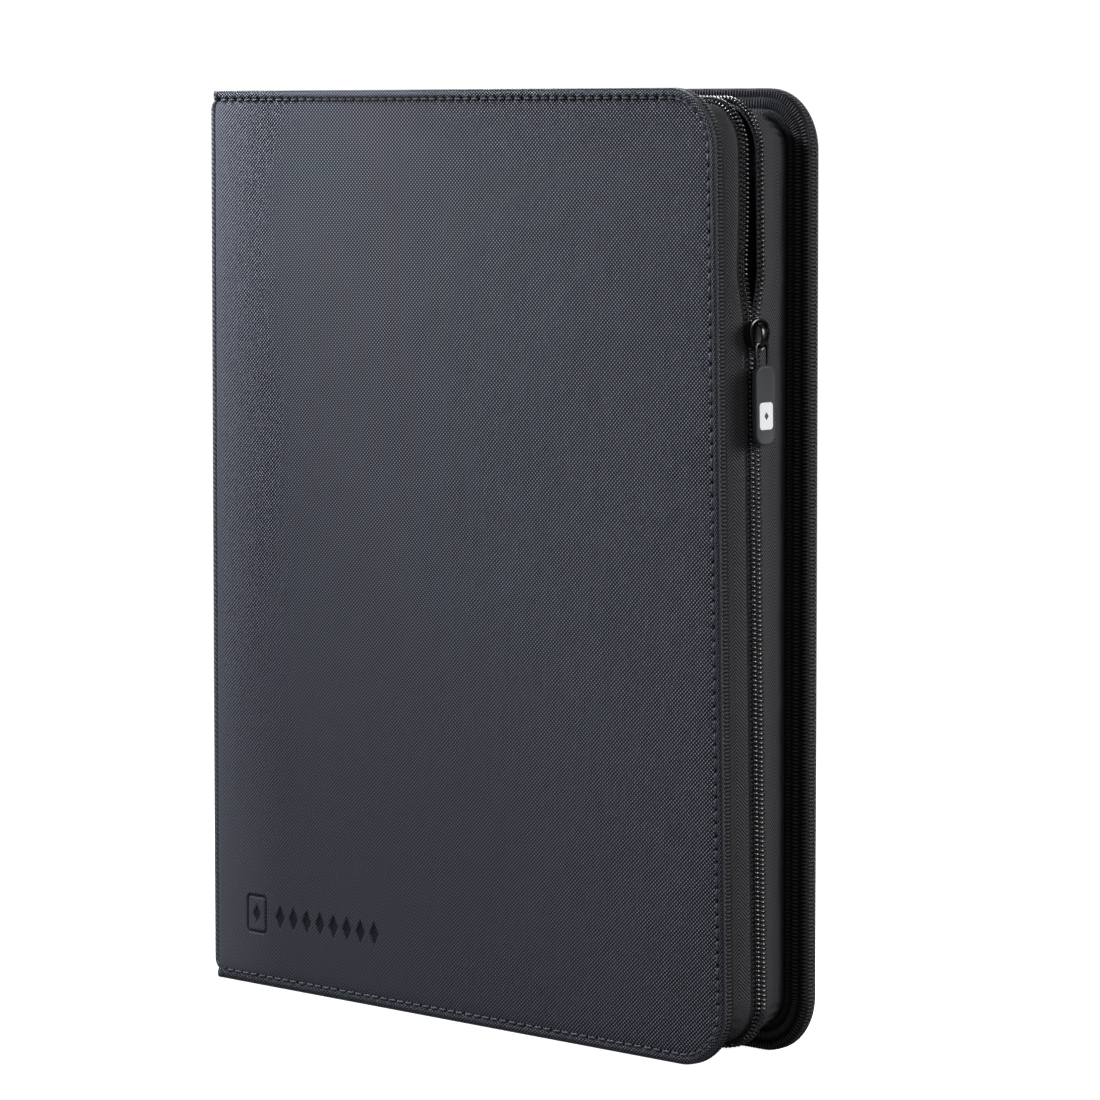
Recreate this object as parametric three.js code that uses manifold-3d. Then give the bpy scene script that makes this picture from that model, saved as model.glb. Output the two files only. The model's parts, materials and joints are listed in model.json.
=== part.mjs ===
// A zip-up binder for trading cards, standing upright, in millimetres with +Z up.
// The spine is at -X, the zip and the covers' fore-edges are at +X, and the front cover faces -Y.
// The zip is closed along the bottom and most of the fore-edge, and open above its slider, where the
// front cover leans out. The origin is the centre of the binder's footprint.
//
// Places on a cover are given as u, the distance from the spine's outer face, depth, the distance in from
// that cover's outer face, and z. An inset is a distance in from the cover's outline.

import * as THREE from "three";
import { mergeVertices } from "three/addons/utils/BufferGeometryUtils.js";
import Module from "manifold-3d";

const wasm = await Module();
wasm.setup();

// ---- Driving dimensions -----------------------------------------------------------------------------------

const COVER_HEIGHT = 345;
const FRONT_WIDTH = 271; // from the spine's outer face to the front cover's fore-edge
const BACK_WIDTH = 273.4; // the back cover reaches a little further
const THICKNESS = 44.4; // outer face to outer face along the bottom
const FLARE = 7; // how far the front cover's top fore-edge corner leans out
const CORNER_RADIUS = 22;
const GAP = 0.3; // clearance between two pieces that touch

const FABRIC = 0.8;
const BOARD = 2;
const LINING = 0.5;
const RIBBON = 0.6; // ribbed ribbon that binds the covers' inner edges
const RIBBON_WIDTH = 11;
const HEM_DEPTH = 1.7; // how far the outer fabric wraps round the cover's edge

const CHAIN_INSET = 4.2; // middle of the zip's coils, in from the front cover's outline
const CHAIN_DEPTH = 22.9; // middle of the zip, from the front cover's outer face
const ROW_OFFSET = 1.85; // each coil, from the middle of the zip
const ROW_RADIUS = 1.15;
const PARTED_FRONT = 2.4; // how far each coil moves off where the zip is open
const PARTED_BACK = 3.1;
const PARTING_START = 2; // above the slider's middle, where the coils begin to part
const PARTING_LENGTH = 38; // and how far up they go before they are fully parted
const PARTING_TOP = 150; // how far from the spine's end the top stays partly closed
const TAPE = 0.6;
const COIL_SEAT = 0.7; // from each coil's rope to the face of the tape that carries it
const TAPE_BEFORE_COIL = 1.6; // the tape lies flat from this far before its coil's middle
const TAPE_PAST_COIL = 0.8; // to this far past it
const SEAM_INSET = RIBBON_WIDTH + GAP; // the tape is sewn to the cover along the ribbon's inner edge
const TAPE_SEAM = 3.7; // width of tape under that seam
const SPINE_CLEARANCE = 12; // the coils end this far from the spine's outer face
const TAPE_TAIL = 3; // the tapes run on this much further
const STOP_LENGTH = 2.6;

const SLIDER_Z = 258.6;
const SLIDER_WIDTH = 10.4;
const SLIDER_LENGTH = 11.4;
const PULL_TAB = { width: 10, length: 28, thickness: 3, corner: 4 };

const LEAF_COUNT = 20;
const LEAF_WIDTH = 228;
const LEAF_HEIGHT = 295;
const LEAF_THICKNESS = 0.4;
const LEAF_PITCH = 1.6;
const LEAF_RISE = 0.7; // each leaf's root stands this much further from the spine than its outer neighbour's
const OUTER_ROOT = 3.3; // the outermost leaves' roots, from the base of the binding strip
const ROOT_TO_SHEET = 0.5; // each leaf's solid starts this far beyond the line that it turns about

// ---- Sizes that follow ------------------------------------------------------------------------------------

const BOARD_DEPTH = FABRIC + GAP;
const LINING_DEPTH = BOARD_DEPTH + BOARD + GAP;
const RIBBON_DEPTH = LINING_DEPTH + LINING + GAP;
const COVER_THICKNESS = RIBBON_DEPTH + RIBBON;

const HINGE_U = COVER_THICKNESS / 2;
const COVER_START = HINGE_U + COVER_THICKNESS / 2 + GAP;

const STOP_END = SPINE_CLEARANCE - GAP; // the stops reach from here towards the spine

const EDGE_STEPS = 6; // stretches along each straight side
const ARC_STEPS = 5; // and round each corner

const { lerp, smoothstep } = THREE.MathUtils;

// How far the front cover has leaned out at a place on it.
function lean(u, z) {
  return FLARE * (Math.max(u - HINGE_U, 0) / (FRONT_WIDTH - HINGE_U)) * (z / COVER_HEIGHT);
}

const cornerLean = Math.max(...foreEdge({ width: FRONT_WIDTH }).map(({ u, z }) => lean(u, z)));
const SPINE_X = -BACK_WIDTH / 2;
const FRONT_Y = (cornerLean - THICKNESS) / 2; // the front cover's outer face, along the spine and the bottom
const BACK_Y = FRONT_Y + THICKNESS;
const MIDDLE_Y = FRONT_Y + THICKNESS / 2;

const front = {
  name: "front",
  width: FRONT_WIDTH,
  place: (u, depth, z) => new THREE.Vector3(SPINE_X + u, FRONT_Y - lean(u, z) + depth, z),
  overhang: 0,
  chainDepth: () => CHAIN_DEPTH,
  parted: PARTED_FRONT,
};

const back = {
  name: "back",
  width: BACK_WIDTH,
  place: (u, depth, z) => new THREE.Vector3(SPINE_X + u, BACK_Y - depth, z),
  overhang: BACK_WIDTH - FRONT_WIDTH,
  chainDepth: (u, z) => THICKNESS - CHAIN_DEPTH + lean(u, z),
  parted: PARTED_BACK,
};

// ---- Materials --------------------------------------------------------------------------------------------

function finish(color, roughness, metalness = 0) {
  return () => new THREE.MeshStandardMaterial({ color, roughness, metalness });
}

const coatedFabric = finish(0x24262b, 0.6);
const greyBoard = finish(0x6f675c, 0.9);
const liningCloth = finish(0x141416, 0.85);
const ribbonWeave = finish(0x18181b, 0.8);
const zipTape = finish(0x1c1d20, 0.85);
const coilNylon = finish(0x101012, 0.35);
const blackMetal = finish(0x0c0c0e, 0.3, 0.9);
const softRubber = finish(0x3a3c40, 0.7);
const whitePrint = finish(0xf2f2f2, 0.5);
const leafFilm = finish(0x17181a, 0.35);
const bindingPlastic = finish(0x1e1f22, 0.6);

// ---- Solids -----------------------------------------------------------------------------------------------

// A geometry from points and triangles, turned so that its faces point outwards.
function closedSurface(points, triangles) {
  const volume = triangles.reduce((sum, [a, b, c]) => {
    return sum + points[a].dot(new THREE.Vector3().crossVectors(points[b], points[c]));
  }, 0);
  const facing = volume < 0 ? triangles.map(([a, b, c]) => [a, c, b]) : triangles;
  return new THREE.BufferGeometry()
    .setAttribute("position", new THREE.Float32BufferAttribute(points.flatMap((p) => p.toArray()), 3))
    .setIndex(facing.flat());
}

// Two triangles for each pair of neighbours in a grid of rows, where id(row, column) names a point.
function gridFaces(rows, columns, id) {
  const faces = [];
  for (let row = 0; row < rows; row++) {
    for (let column = 0; column < columns; column++) {
      const [a, b] = [id(row, column), id(row, column + 1)];
      const [c, d] = [id(row + 1, column + 1), id(row + 1, column)];
      faces.push([a, b, c], [a, c, d]);
    }
  }
  return faces;
}

// A solid that carries an outline along a run of stations: outlineAt gives the outline's flat points at a
// station, and placeAt puts one of them in space. A closed run meets its own start, and has no ends.
function sweep(stations, outlineAt, placeAt, closed = false) {
  const outlines = stations.map(outlineAt);
  const sides = outlines[0].length;
  const points = outlines.flatMap((outline, i) => outline.map(([a, b]) => placeAt(stations[i], a, b)));
  const id = (row, side) => (row % stations.length) * sides + (side % sides);
  const triangles = gridFaces(closed ? stations.length : stations.length - 1, sides, id);
  if (!closed) {
    const flat = (outline) => outline.map(([a, b]) => new THREE.Vector2(a, b));
    const cap = (row, forwards) => {
      return THREE.ShapeUtils.triangulateShape(flat(outlines[row]), []).map(([a, b, c]) => {
        return forwards ? [id(row, a), id(row, b), id(row, c)] : [id(row, c), id(row, b), id(row, a)];
      });
    };
    // The two caps face opposite ways, and which one is turned follows from the outline's direction.
    const turn = THREE.ShapeUtils.isClockWise(flat(outlines[0]));
    triangles.push(...cap(0, turn), ...cap(outlines.length - 1, !turn));
  }
  return closedSurface(points, triangles);
}

function solidOf(geometry) {
  const bare = geometry.clone();
  bare.deleteAttribute("normal");
  bare.deleteAttribute("uv");
  const merged = mergeVertices(bare, 1e-4);
  return new wasm.Manifold(
    new wasm.Mesh({
      numProp: 3,
      vertProperties: merged.attributes.position.array,
      triVerts: new Uint32Array(merged.index.array),
    }),
  );
}

function geometryOf(solid) {
  const mesh = solid.getMesh();
  return new THREE.BufferGeometry()
    .setAttribute("position", new THREE.BufferAttribute(mesh.vertProperties, 3))
    .setIndex(new THREE.BufferAttribute(mesh.triVerts, 1));
}

function join(...geometries) {
  return geometryOf(geometries.map(solidOf).reduce((whole, part) => whole.add(part)));
}

function cut(geometry, ...tools) {
  return geometryOf(tools.map(solidOf).reduce((whole, tool) => whole.subtract(tool), solidOf(geometry)));
}

function box(low, high) {
  const size = high.map((value, axis) => value - low[axis]);
  const centre = high.map((value, axis) => (value + low[axis]) / 2);
  return new THREE.BoxGeometry(...size).translate(...centre);
}

function named(name, geometry, material) {
  const mesh = new THREE.Mesh(geometry, material());
  mesh.name = name;
  return mesh;
}

// ---- Cover outlines ---------------------------------------------------------------------------------------

// Stations up a cover's fore-edge, round both corners. outU and outZ point out of the outline.
function foreEdge(side) {
  const centreU = side.width - CORNER_RADIUS;
  const arc = (centreZ, fromDegrees) => {
    return Array.from({ length: ARC_STEPS + 1 }, (_, i) => {
      const angle = THREE.MathUtils.degToRad(fromDegrees + (90 * i) / ARC_STEPS);
      const [outU, outZ] = [Math.cos(angle), Math.sin(angle)];
      return { u: centreU + CORNER_RADIUS * outU, z: centreZ + CORNER_RADIUS * outZ, outU, outZ };
    });
  };
  const bottom = arc(CORNER_RADIUS, -90);
  const top = arc(COVER_HEIGHT - CORNER_RADIUS, 0);
  const steps = 2 * EDGE_STEPS;
  const straight = Array.from({ length: steps - 1 }, (_, i) => {
    const z = lerp(CORNER_RADIUS, COVER_HEIGHT - CORNER_RADIUS, (i + 1) / steps);
    return { u: side.width, z, outU: 1, outZ: 0 };
  });
  return [...bottom, ...straight, ...top];
}

// Stations along the bottom from startU, up the fore-edge, and back along the top.
function threeSides(side, startU) {
  const cornerU = side.width - CORNER_RADIUS;
  const shares = Array.from({ length: EDGE_STEPS }, (_, i) => i / EDGE_STEPS);
  const bottom = shares.map((share) => ({ u: lerp(startU, cornerU, share), z: 0, outU: 0, outZ: -1 }));
  const top = bottom.map((station) => ({ ...station, z: COVER_HEIGHT, outZ: 1 })).reverse();
  return [...bottom, ...foreEdge(side), ...top];
}

function placeInset(side) {
  return ({ u, z, outU, outZ }, inset, depth) => side.place(u - outU * inset, depth, z - outZ * inset);
}

// A layer of a cover with the cover's outline, from the hinge to the fore-edge. steps lists the depth and the
// inset of its outline, from its outer side to its inner side.
function coverLayer(side, steps, startU = COVER_START) {
  const columns = 3;
  const rows = foreEdge(side);
  const points = steps.flatMap(([depth, inset]) => {
    return rows.flatMap(({ u, z, outU, outZ }) => {
      const [endU, atZ] = [u - outU * inset, z - outZ * inset];
      return Array.from({ length: columns + 1 }, (_, i) => {
        return side.place(lerp(startU, endU, i / columns), depth, atZ);
      });
    });
  });
  const id = (step, row, column) => (step * rows.length + row) * (columns + 1) + column;
  const lastRow = rows.length - 1;
  const round = [
    ...Array.from({ length: columns }, (_, i) => [0, i]),
    ...Array.from({ length: lastRow }, (_, i) => [i, columns]),
    ...Array.from({ length: columns }, (_, i) => [lastRow, columns - i]),
    ...Array.from({ length: lastRow }, (_, i) => [lastRow - i, 0]),
  ];
  const edge = gridFaces(steps.length - 1, round.length, (step, i) => id(step, ...round[i % round.length]));
  const outer = gridFaces(lastRow, columns, (row, column) => id(0, row, column));
  const inner = gridFaces(lastRow, columns, (row, column) => id(steps.length - 1, row, column));
  return closedSurface(points, [...edge, ...outer.map(([a, b, c]) => [c, b, a]), ...inner]);
}

// ---- Covers -----------------------------------------------------------------------------------------------

// The outer fabric: a shallow tray whose rim wraps round the board's edge, with its outer corner eased.
function coverFabric(side) {
  const ease = 0.6;
  const past = 1; // the pocket is cut this far past the tray's open sides
  const outside = coverLayer(side, [[0, ease], [ease, 0], [HEM_DEPTH, 0]]);
  const pocket = coverLayer(side, [[FABRIC, FABRIC], [HEM_DEPTH + past, FABRIC]], COVER_START - past);
  return cut(outside, pocket);
}

function coverBoard(side) {
  const inset = FABRIC + GAP;
  return coverLayer(side, [[BOARD_DEPTH, inset], [BOARD_DEPTH + BOARD, inset]]);
}

function coverLining(side) {
  const inset = FABRIC + GAP;
  return coverLayer(side, [[LINING_DEPTH, inset], [LINING_DEPTH + LINING, inset]]);
}

// The ribbed ribbon round the inner edge, with a short leg that turns over the board's edge.
function edgeRibbon(side) {
  const legTop = HEM_DEPTH + GAP;
  const outer = 0.2; // the leg's own inset
  const section = [
    [outer, legTop],
    [outer, COVER_THICKNESS],
    [RIBBON_WIDTH, COVER_THICKNESS],
    [RIBBON_WIDTH, RIBBON_DEPTH],
    [outer + RIBBON, RIBBON_DEPTH],
    [outer + RIBBON, legTop],
  ];
  return sweep(threeSides(side, COVER_START), () => section, placeInset(side));
}

// ---- Zip --------------------------------------------------------------------------------------------------

// How open the zip is at a station, from 0 below the slider to 1 above it, and back to 0 at the spine's end.
function openness({ u, z }) {
  const start = SLIDER_Z + PARTING_START;
  const aboveSlider = smoothstep(z, start, start + PARTING_LENGTH);
  const offSpine = smoothstep(u, SPINE_CLEARANCE, SPINE_CLEARANCE + PARTING_TOP);
  return aboveSlider * offSpine;
}

// The depth and inset of one coil's middle at a station.
function rowAt(side, station) {
  const { u, z, outU } = station;
  return {
    depth: side.chainDepth(u, z) - ROW_OFFSET - side.parted * openness(station),
    inset: CHAIN_INSET + side.overhang * outU,
  };
}

// Half of the gusset: tape of even thickness, from the seam on the cover to the edge under the coil.
function tapeSection(side, station) {
  const row = rowAt(side, station);
  const seamDepth = RIBBON_DEPTH + TAPE / 2;
  const underCoil = row.inset + ROW_RADIUS + COIL_SEAT + TAPE / 2;
  const belly = { across: 0.55, through: 0.45 }; // where the slack lies, on the way from the seam to the coil
  const line = [
    [SEAM_INSET + TAPE_SEAM, seamDepth],
    [SEAM_INSET + TAPE / 2, seamDepth],
    [lerp(SEAM_INSET, underCoil, belly.across), lerp(seamDepth, row.depth, belly.through)],
    [underCoil, row.depth - TAPE_BEFORE_COIL],
    [underCoil, row.depth + TAPE_PAST_COIL],
  ].map(([inset, depth]) => new THREE.Vector2(inset, depth));
  const sideways = line.map((point, i) => {
    const along = line[Math.min(i + 1, line.length - 1)].clone().sub(line[Math.max(i - 1, 0)]).normalize();
    return new THREE.Vector2(-along.y, along.x).multiplyScalar(TAPE / 2);
  });
  const oneFace = line.map((point, i) => point.clone().add(sideways[i]).toArray());
  const otherFace = line.map((point, i) => point.clone().sub(sideways[i]).toArray());
  return [...oneFace, ...otherFace.reverse()];
}

function tape(side) {
  const stations = threeSides(side, SPINE_CLEARANCE - TAPE_TAIL);
  return sweep(stations, (station) => tapeSection(side, station), placeInset(side));
}

// One coil of the zip, as a solid rope along the tape's edge.
function coil(side) {
  const sides = 6;
  const rope = (station) => {
    const row = rowAt(side, station);
    return Array.from({ length: sides }, (_, i) => {
      const angle = (2 * Math.PI * i) / sides;
      return [row.inset + ROW_RADIUS * Math.cos(angle), row.depth + ROW_RADIUS * Math.sin(angle)];
    });
  };
  return sweep(threeSides(side, SPINE_CLEARANCE), rope, placeInset(side));
}

// A crimped stop that ends a coil at the spine's end of the top.
function topStop(side) {
  const station = { u: SPINE_CLEARANCE, z: COVER_HEIGHT, outU: 0, outZ: 1 };
  const row = rowAt(side, station);
  const top = COVER_HEIGHT - row.inset + ROW_RADIUS;
  const corner = side.place(STOP_END - STOP_LENGTH, row.depth - ROW_RADIUS, top - 2 * ROW_RADIUS);
  const opposite = side.place(STOP_END, row.depth + ROW_RADIUS, top);
  return boxBetween(corner, opposite);
}

// The stop at the bottom, which spans both coils where the zip starts. It stays with the spine.
function bottomStop() {
  const halfWidth = ROW_OFFSET + ROW_RADIUS;
  const corner = front.place(STOP_END - STOP_LENGTH, CHAIN_DEPTH - halfWidth, CHAIN_INSET - ROW_RADIUS);
  const opposite = front.place(STOP_END, CHAIN_DEPTH + halfWidth, CHAIN_INSET + ROW_RADIUS);
  return boxBetween(corner, opposite);
}

function boxBetween(corner, opposite) {
  const bounds = new THREE.Box3().setFromPoints([corner, opposite]);
  return box(bounds.min.toArray(), bounds.max.toArray());
}

// ---- Slider and pull --------------------------------------------------------------------------------------

// These are made about the middle of the zip, with x out of the fore-edge, y across the zip and z along it.
const SLIDER_CLEARANCE = 0.6; // from the coils' ropes to the slider's outer plate
const OUTER_PLATE = 1.2;
const PLATE_LOW = ROW_RADIUS + SLIDER_CLEARANCE;
const PLATE_HIGH = PLATE_LOW + OUTER_PLATE;
const WIRE_RADIUS = 0.65;
const PIVOT = { x: PLATE_HIGH + WIRE_RADIUS + GAP, z: -2.9 };
const BRIDGE = { low: -4.6, high: 4.2, rise: 2.65, wall: 0.8, slope: 1.8, width: 3.5 };
const LINK_HALF_WIDTH = 2.95;
const LINK_LENGTH = 10.6;
const LINK_SHOWING = 7.8; // from the pivot down to the tab
const TAB_MIDDLE_X = PIVOT.x + 0.4;
const TAB_TOP_Z = PIVOT.z - LINK_SHOWING;
const TAB_BADGE = { width: 6.8, length: 9.6, thickness: 0.5, corner: 1.3 };
const BADGE_SINK = 0.6; // depth of the tab's recess for the badge
const BADGE_TOP_Z = TAB_TOP_Z - 12.9;

// An egg-shaped plate that lies over the coils, wider at its upper end where the coils come apart.
function sliderPlate() {
  const steps = 20;
  const taper = 0.12;
  const egg = Array.from({ length: steps }, (_, i) => {
    const angle = (2 * Math.PI * i) / steps;
    const widen = 1 + taper * Math.sin(angle);
    return new THREE.Vector2(
      (SLIDER_WIDTH / 2) * Math.cos(angle) * widen,
      (SLIDER_LENGTH / 2) * Math.sin(angle),
    );
  });
  const plate = new THREE.ExtrudeGeometry(new THREE.Shape(egg), {
    depth: PLATE_HIGH - PLATE_LOW,
    bevelEnabled: false,
  });
  return plate.applyMatrix4(acrossZip()).translate(PLATE_LOW, 0, 0);
}

// Turns a shape drawn in XY so that its x lies across the zip, its y along it, and its depth points outwards.
function acrossZip() {
  return new THREE.Matrix4().makeBasis(
    new THREE.Vector3(0, 1, 0),
    new THREE.Vector3(0, 0, 1),
    new THREE.Vector3(1, 0, 0),
  );
}

// The arched bridge that holds the link, drawn from the side and extruded across the zip.
function sliderBridge() {
  const { low, high, rise, wall, slope, width } = BRIDGE;
  const sink = 0.4; // the arch's feet go this far into the plate
  const shoulder = 1;
  const arch = new THREE.Shape();
  arch.moveTo(low, -sink);
  arch.lineTo(low, rise - shoulder);
  arch.quadraticCurveTo(low, rise, low + shoulder, rise);
  arch.lineTo(high - slope, rise);
  arch.quadraticCurveTo(high, rise, high, -sink);
  const eyeLow = 0.05; // the eye stops just short of the plate
  const eye = new THREE.Shape();
  eye.moveTo(low + wall, eyeLow);
  eye.lineTo(low + wall, rise - wall);
  eye.lineTo(high - slope, rise - wall);
  eye.lineTo(high - 1.5 * wall, eyeLow);
  return cut(alongZip(arch, width), alongZip(eye, width + 1));
}

// Extrudes a shape seen from the side, whose x lies along the zip and whose y points outwards.
function alongZip(shape, width) {
  const basis = new THREE.Matrix4().makeBasis(
    new THREE.Vector3(0, 0, 1),
    new THREE.Vector3(1, 0, 0),
    new THREE.Vector3(0, 1, 0),
  );
  return new THREE.ExtrudeGeometry(shape, { depth: width, curveSegments: 4, bevelEnabled: false })
    .applyMatrix4(basis)
    .translate(PLATE_HIGH, -width / 2, 0);
}

// The casting: outer plate, bridge, and the post that carries the inner plate between the parted coils.
function sliderBody() {
  const clearance = 0.4;
  const innerHigh = -(ROW_RADIUS + clearance + 2 * TAPE) - clearance;
  const [plateHalfWidth, plateHalfLength, plateThickness] = [3, 4.8, 1];
  const [postHalfWidth, postLow, sink] = [0.4, 0.5, 0.5];
  const post = box(
    [innerHigh - sink, -postHalfWidth, postLow],
    [PLATE_LOW + sink, postHalfWidth, plateHalfLength],
  );
  const innerPlate = box(
    [innerHigh - plateThickness, -plateHalfWidth, -plateHalfLength],
    [innerHigh, plateHalfWidth, plateHalfLength],
  );
  return join(sliderPlate(), sliderBridge(), post, innerPlate);
}

// The wire link that passes under the bridge, as a round-cornered loop hanging down from its pivot.
function pullLink() {
  const corner = 1.2;
  const cornerSteps = 3;
  const [halfWidth, bottom] = [LINK_HALF_WIDTH, PIVOT.z - LINK_LENGTH];
  const corners = [
    [halfWidth - corner, PIVOT.z - corner, 0],
    [-halfWidth + corner, PIVOT.z - corner, 90],
    [-halfWidth + corner, bottom + corner, 180],
    [halfWidth - corner, bottom + corner, 270],
  ];
  const stations = corners.flatMap(([y, z, fromDegrees]) => {
    return Array.from({ length: cornerSteps + 1 }, (_, i) => {
      const angle = THREE.MathUtils.degToRad(fromDegrees + (90 * i) / cornerSteps);
      const [outY, outZ] = [Math.cos(angle), Math.sin(angle)];
      return { y: y + corner * outY, z: z + corner * outZ, outY, outZ };
    });
  });
  const sides = 8;
  const wire = Array.from({ length: sides }, (_, i) => {
    const angle = (2 * Math.PI * i) / sides;
    return [WIRE_RADIUS * Math.cos(angle), WIRE_RADIUS * Math.sin(angle)];
  });
  const placeAt = ({ y, z, outY, outZ }, outward, x) => {
    return new THREE.Vector3(PIVOT.x + x, y + outY * outward, z + outZ * outward);
  };
  return sweep(stations, () => wire, placeAt, true);
}

function roundedRectangle(width, height, corner) {
  const shape = new THREE.Shape();
  const [x, y] = [width / 2 - corner, height / 2 - corner];
  shape.absarc(x, y, corner, 0, Math.PI / 2);
  shape.absarc(-x, y, corner, Math.PI / 2, Math.PI);
  shape.absarc(-x, -y, corner, Math.PI, 1.5 * Math.PI);
  shape.absarc(x, -y, corner, 1.5 * Math.PI, 2 * Math.PI);
  return shape;
}

// A flat plate with round corners that hangs in the plane of the zip, from z down, its inner face at x.
function hangingPlate({ width, length, thickness, corner }, x, top) {
  const shape = roundedRectangle(width, length, corner);
  return new THREE.ExtrudeGeometry(shape, { depth: thickness, curveSegments: 5, bevelEnabled: false })
    .applyMatrix4(acrossZip())
    .translate(x, 0, top - length / 2);
}

// The soft tab moulded on the link's lower end, with a shallow recess for its badge.
function pullTab() {
  const faceX = TAB_MIDDLE_X + PULL_TAB.thickness / 2;
  const tab = hangingPlate(PULL_TAB, TAB_MIDDLE_X - PULL_TAB.thickness / 2, TAB_TOP_Z);
  const slotHalfWidth = LINK_HALF_WIDTH + WIRE_RADIUS + GAP;
  const slot = box(
    [PIVOT.x - WIRE_RADIUS - GAP, -slotHalfWidth, PIVOT.z - LINK_LENGTH - WIRE_RADIUS - GAP],
    [PIVOT.x + WIRE_RADIUS + GAP, slotHalfWidth, TAB_TOP_Z + 1],
  );
  const recess = hangingPlate(
    {
      width: TAB_BADGE.width + 2 * GAP,
      length: TAB_BADGE.length + 2 * GAP,
      thickness: PULL_TAB.thickness,
      corner: TAB_BADGE.corner + GAP,
    },
    faceX - BADGE_SINK,
    BADGE_TOP_Z + GAP,
  );
  return cut(tab, slot, recess);
}

function tabBadge() {
  const faceX = TAB_MIDDLE_X + PULL_TAB.thickness / 2;
  return hangingPlate(TAB_BADGE, faceX - BADGE_SINK + GAP, BADGE_TOP_Z);
}

// The slider, link and tab, put on the zip and tilted to run along it.
function sliderAssembly() {
  const u = FRONT_WIDTH - CHAIN_INSET;
  const group = new THREE.Group();
  group.position.copy(front.place(u, CHAIN_DEPTH, SLIDER_Z));
  group.rotation.x = Math.atan(lean(u, COVER_HEIGHT) / COVER_HEIGHT);
  group.add(
    named("zip_slider", sliderBody(), blackMetal),
    named("zip_pull_link", pullLink(), blackMetal),
    named("zip_pull_tab", pullTab(), softRubber),
    named("zip_pull_badge", tabBadge(), whitePrint),
  );
  return group;
}

// ---- Spine ------------------------------------------------------------------------------------------------

const SPINE_EDGE = COVER_THICKNESS + GAP; // the spine's pieces start this far in from each cover's outer face

// A flat piece of the spine between the hinges, from depth to depth + thickness inside its outer face.
function spineLayer(depth, thickness, inset) {
  return box(
    [SPINE_X + depth, FRONT_Y + SPINE_EDGE + inset, inset],
    [SPINE_X + depth + thickness, BACK_Y - SPINE_EDGE - inset, COVER_HEIGHT - inset],
  );
}

// The rolled fabric that hinges a cover to the spine.
function hingeFabric(side) {
  const play = 0.2;
  const setBack = 1; // from the binder's top and bottom
  const radius = COVER_THICKNESS / 2 - play;
  const height = COVER_HEIGHT - 2 * setBack;
  const centre = side.place(HINGE_U, HINGE_U, COVER_HEIGHT / 2);
  return new THREE.CylinderGeometry(radius, radius, height, 16)
    .rotateX(Math.PI / 2)
    .translate(...centre.toArray());
}

const BINDING_U = RIBBON_DEPTH;
const ROOT_CLEARANCE = 1; // from the binding strip to each leaf's root

function leafRoot(leaf) {
  const middle = (LEAF_COUNT - 1) / 2;
  const fromMiddle = Math.abs(leaf - middle);
  return {
    u: BINDING_U + OUTER_ROOT + (middle - fromMiddle) * LEAF_RISE,
    y: MIDDLE_Y + (leaf - middle) * LEAF_PITCH,
  };
}

// The strip that the leaves are welded to, its face roof-shaped so that each half of the leaves can lie flat.
function bindingStrip() {
  const margin = 1;
  const outermost = leafRoot(0);
  const halfWidth = MIDDLE_Y - outermost.y + margin;
  const slope = LEAF_RISE / LEAF_PITCH;
  const edgeU = outermost.u - slope - ROOT_CLEARANCE;
  const section = new THREE.Shape();
  section.moveTo(BINDING_U, -halfWidth);
  section.lineTo(edgeU, -halfWidth);
  section.lineTo(edgeU + slope * halfWidth, 0);
  section.lineTo(edgeU, halfWidth);
  section.lineTo(BINDING_U, halfWidth);
  return new THREE.ExtrudeGeometry(section, { depth: LEAF_HEIGHT, bevelEnabled: false }).translate(
    SPINE_X,
    MIDDLE_Y,
    (COVER_HEIGHT - LEAF_HEIGHT) / 2,
  );
}

// One leaf of pockets, standing on the binding strip at its root.
function leafSheet(leaf) {
  const root = leafRoot(leaf);
  const startX = SPINE_X + root.u + ROOT_TO_SHEET;
  const startZ = (COVER_HEIGHT - LEAF_HEIGHT) / 2;
  return box(
    [startX, root.y - LEAF_THICKNESS / 2, startZ],
    [startX + LEAF_WIDTH, root.y + LEAF_THICKNESS / 2, startZ + LEAF_HEIGHT],
  );
}

// ---- Assembly ---------------------------------------------------------------------------------------------

function spine() {
  const group = new THREE.Group();
  group.add(
    named("spine_fabric", spineLayer(0, FABRIC, 0), coatedFabric),
    named("spine_board", spineLayer(BOARD_DEPTH, BOARD, FABRIC + GAP), greyBoard),
    named("spine_lining", spineLayer(LINING_DEPTH, LINING, FABRIC + GAP), liningCloth),
    named("front_hinge_fabric", hingeFabric(front), coatedFabric),
    named("back_hinge_fabric", hingeFabric(back), coatedFabric),
    named("leaf_binding_strip", bindingStrip(), bindingPlastic),
    named("zip_bottom_stop", bottomStop(), blackMetal),
  );
  return group;
}

function cover(side) {
  const group = new THREE.Group();
  group.add(
    named(`${side.name}_cover_fabric`, coverFabric(side), coatedFabric),
    named(`${side.name}_cover_board`, coverBoard(side), greyBoard),
    named(`${side.name}_cover_lining`, coverLining(side), liningCloth),
    named(`${side.name}_edge_ribbon`, edgeRibbon(side), ribbonWeave),
    named(`${side.name}_zip_tape`, tape(side), zipTape),
    named(`${side.name}_zip_coil`, coil(side), coilNylon),
    named(`${side.name}_zip_top_stop`, topStop(side), blackMetal),
  );
  return group;
}

function leaves() {
  const group = new THREE.Group();
  for (let leaf = 0; leaf < LEAF_COUNT; leaf++) {
    group.add(named(`leaf_${String(leaf + 1).padStart(2, "0")}`, leafSheet(leaf), leafFilm));
  }
  return group;
}

const binder = new THREE.Group();
binder.add(spine(), cover(front), cover(back), leaves(), sliderAssembly());

export default binder;
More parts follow.
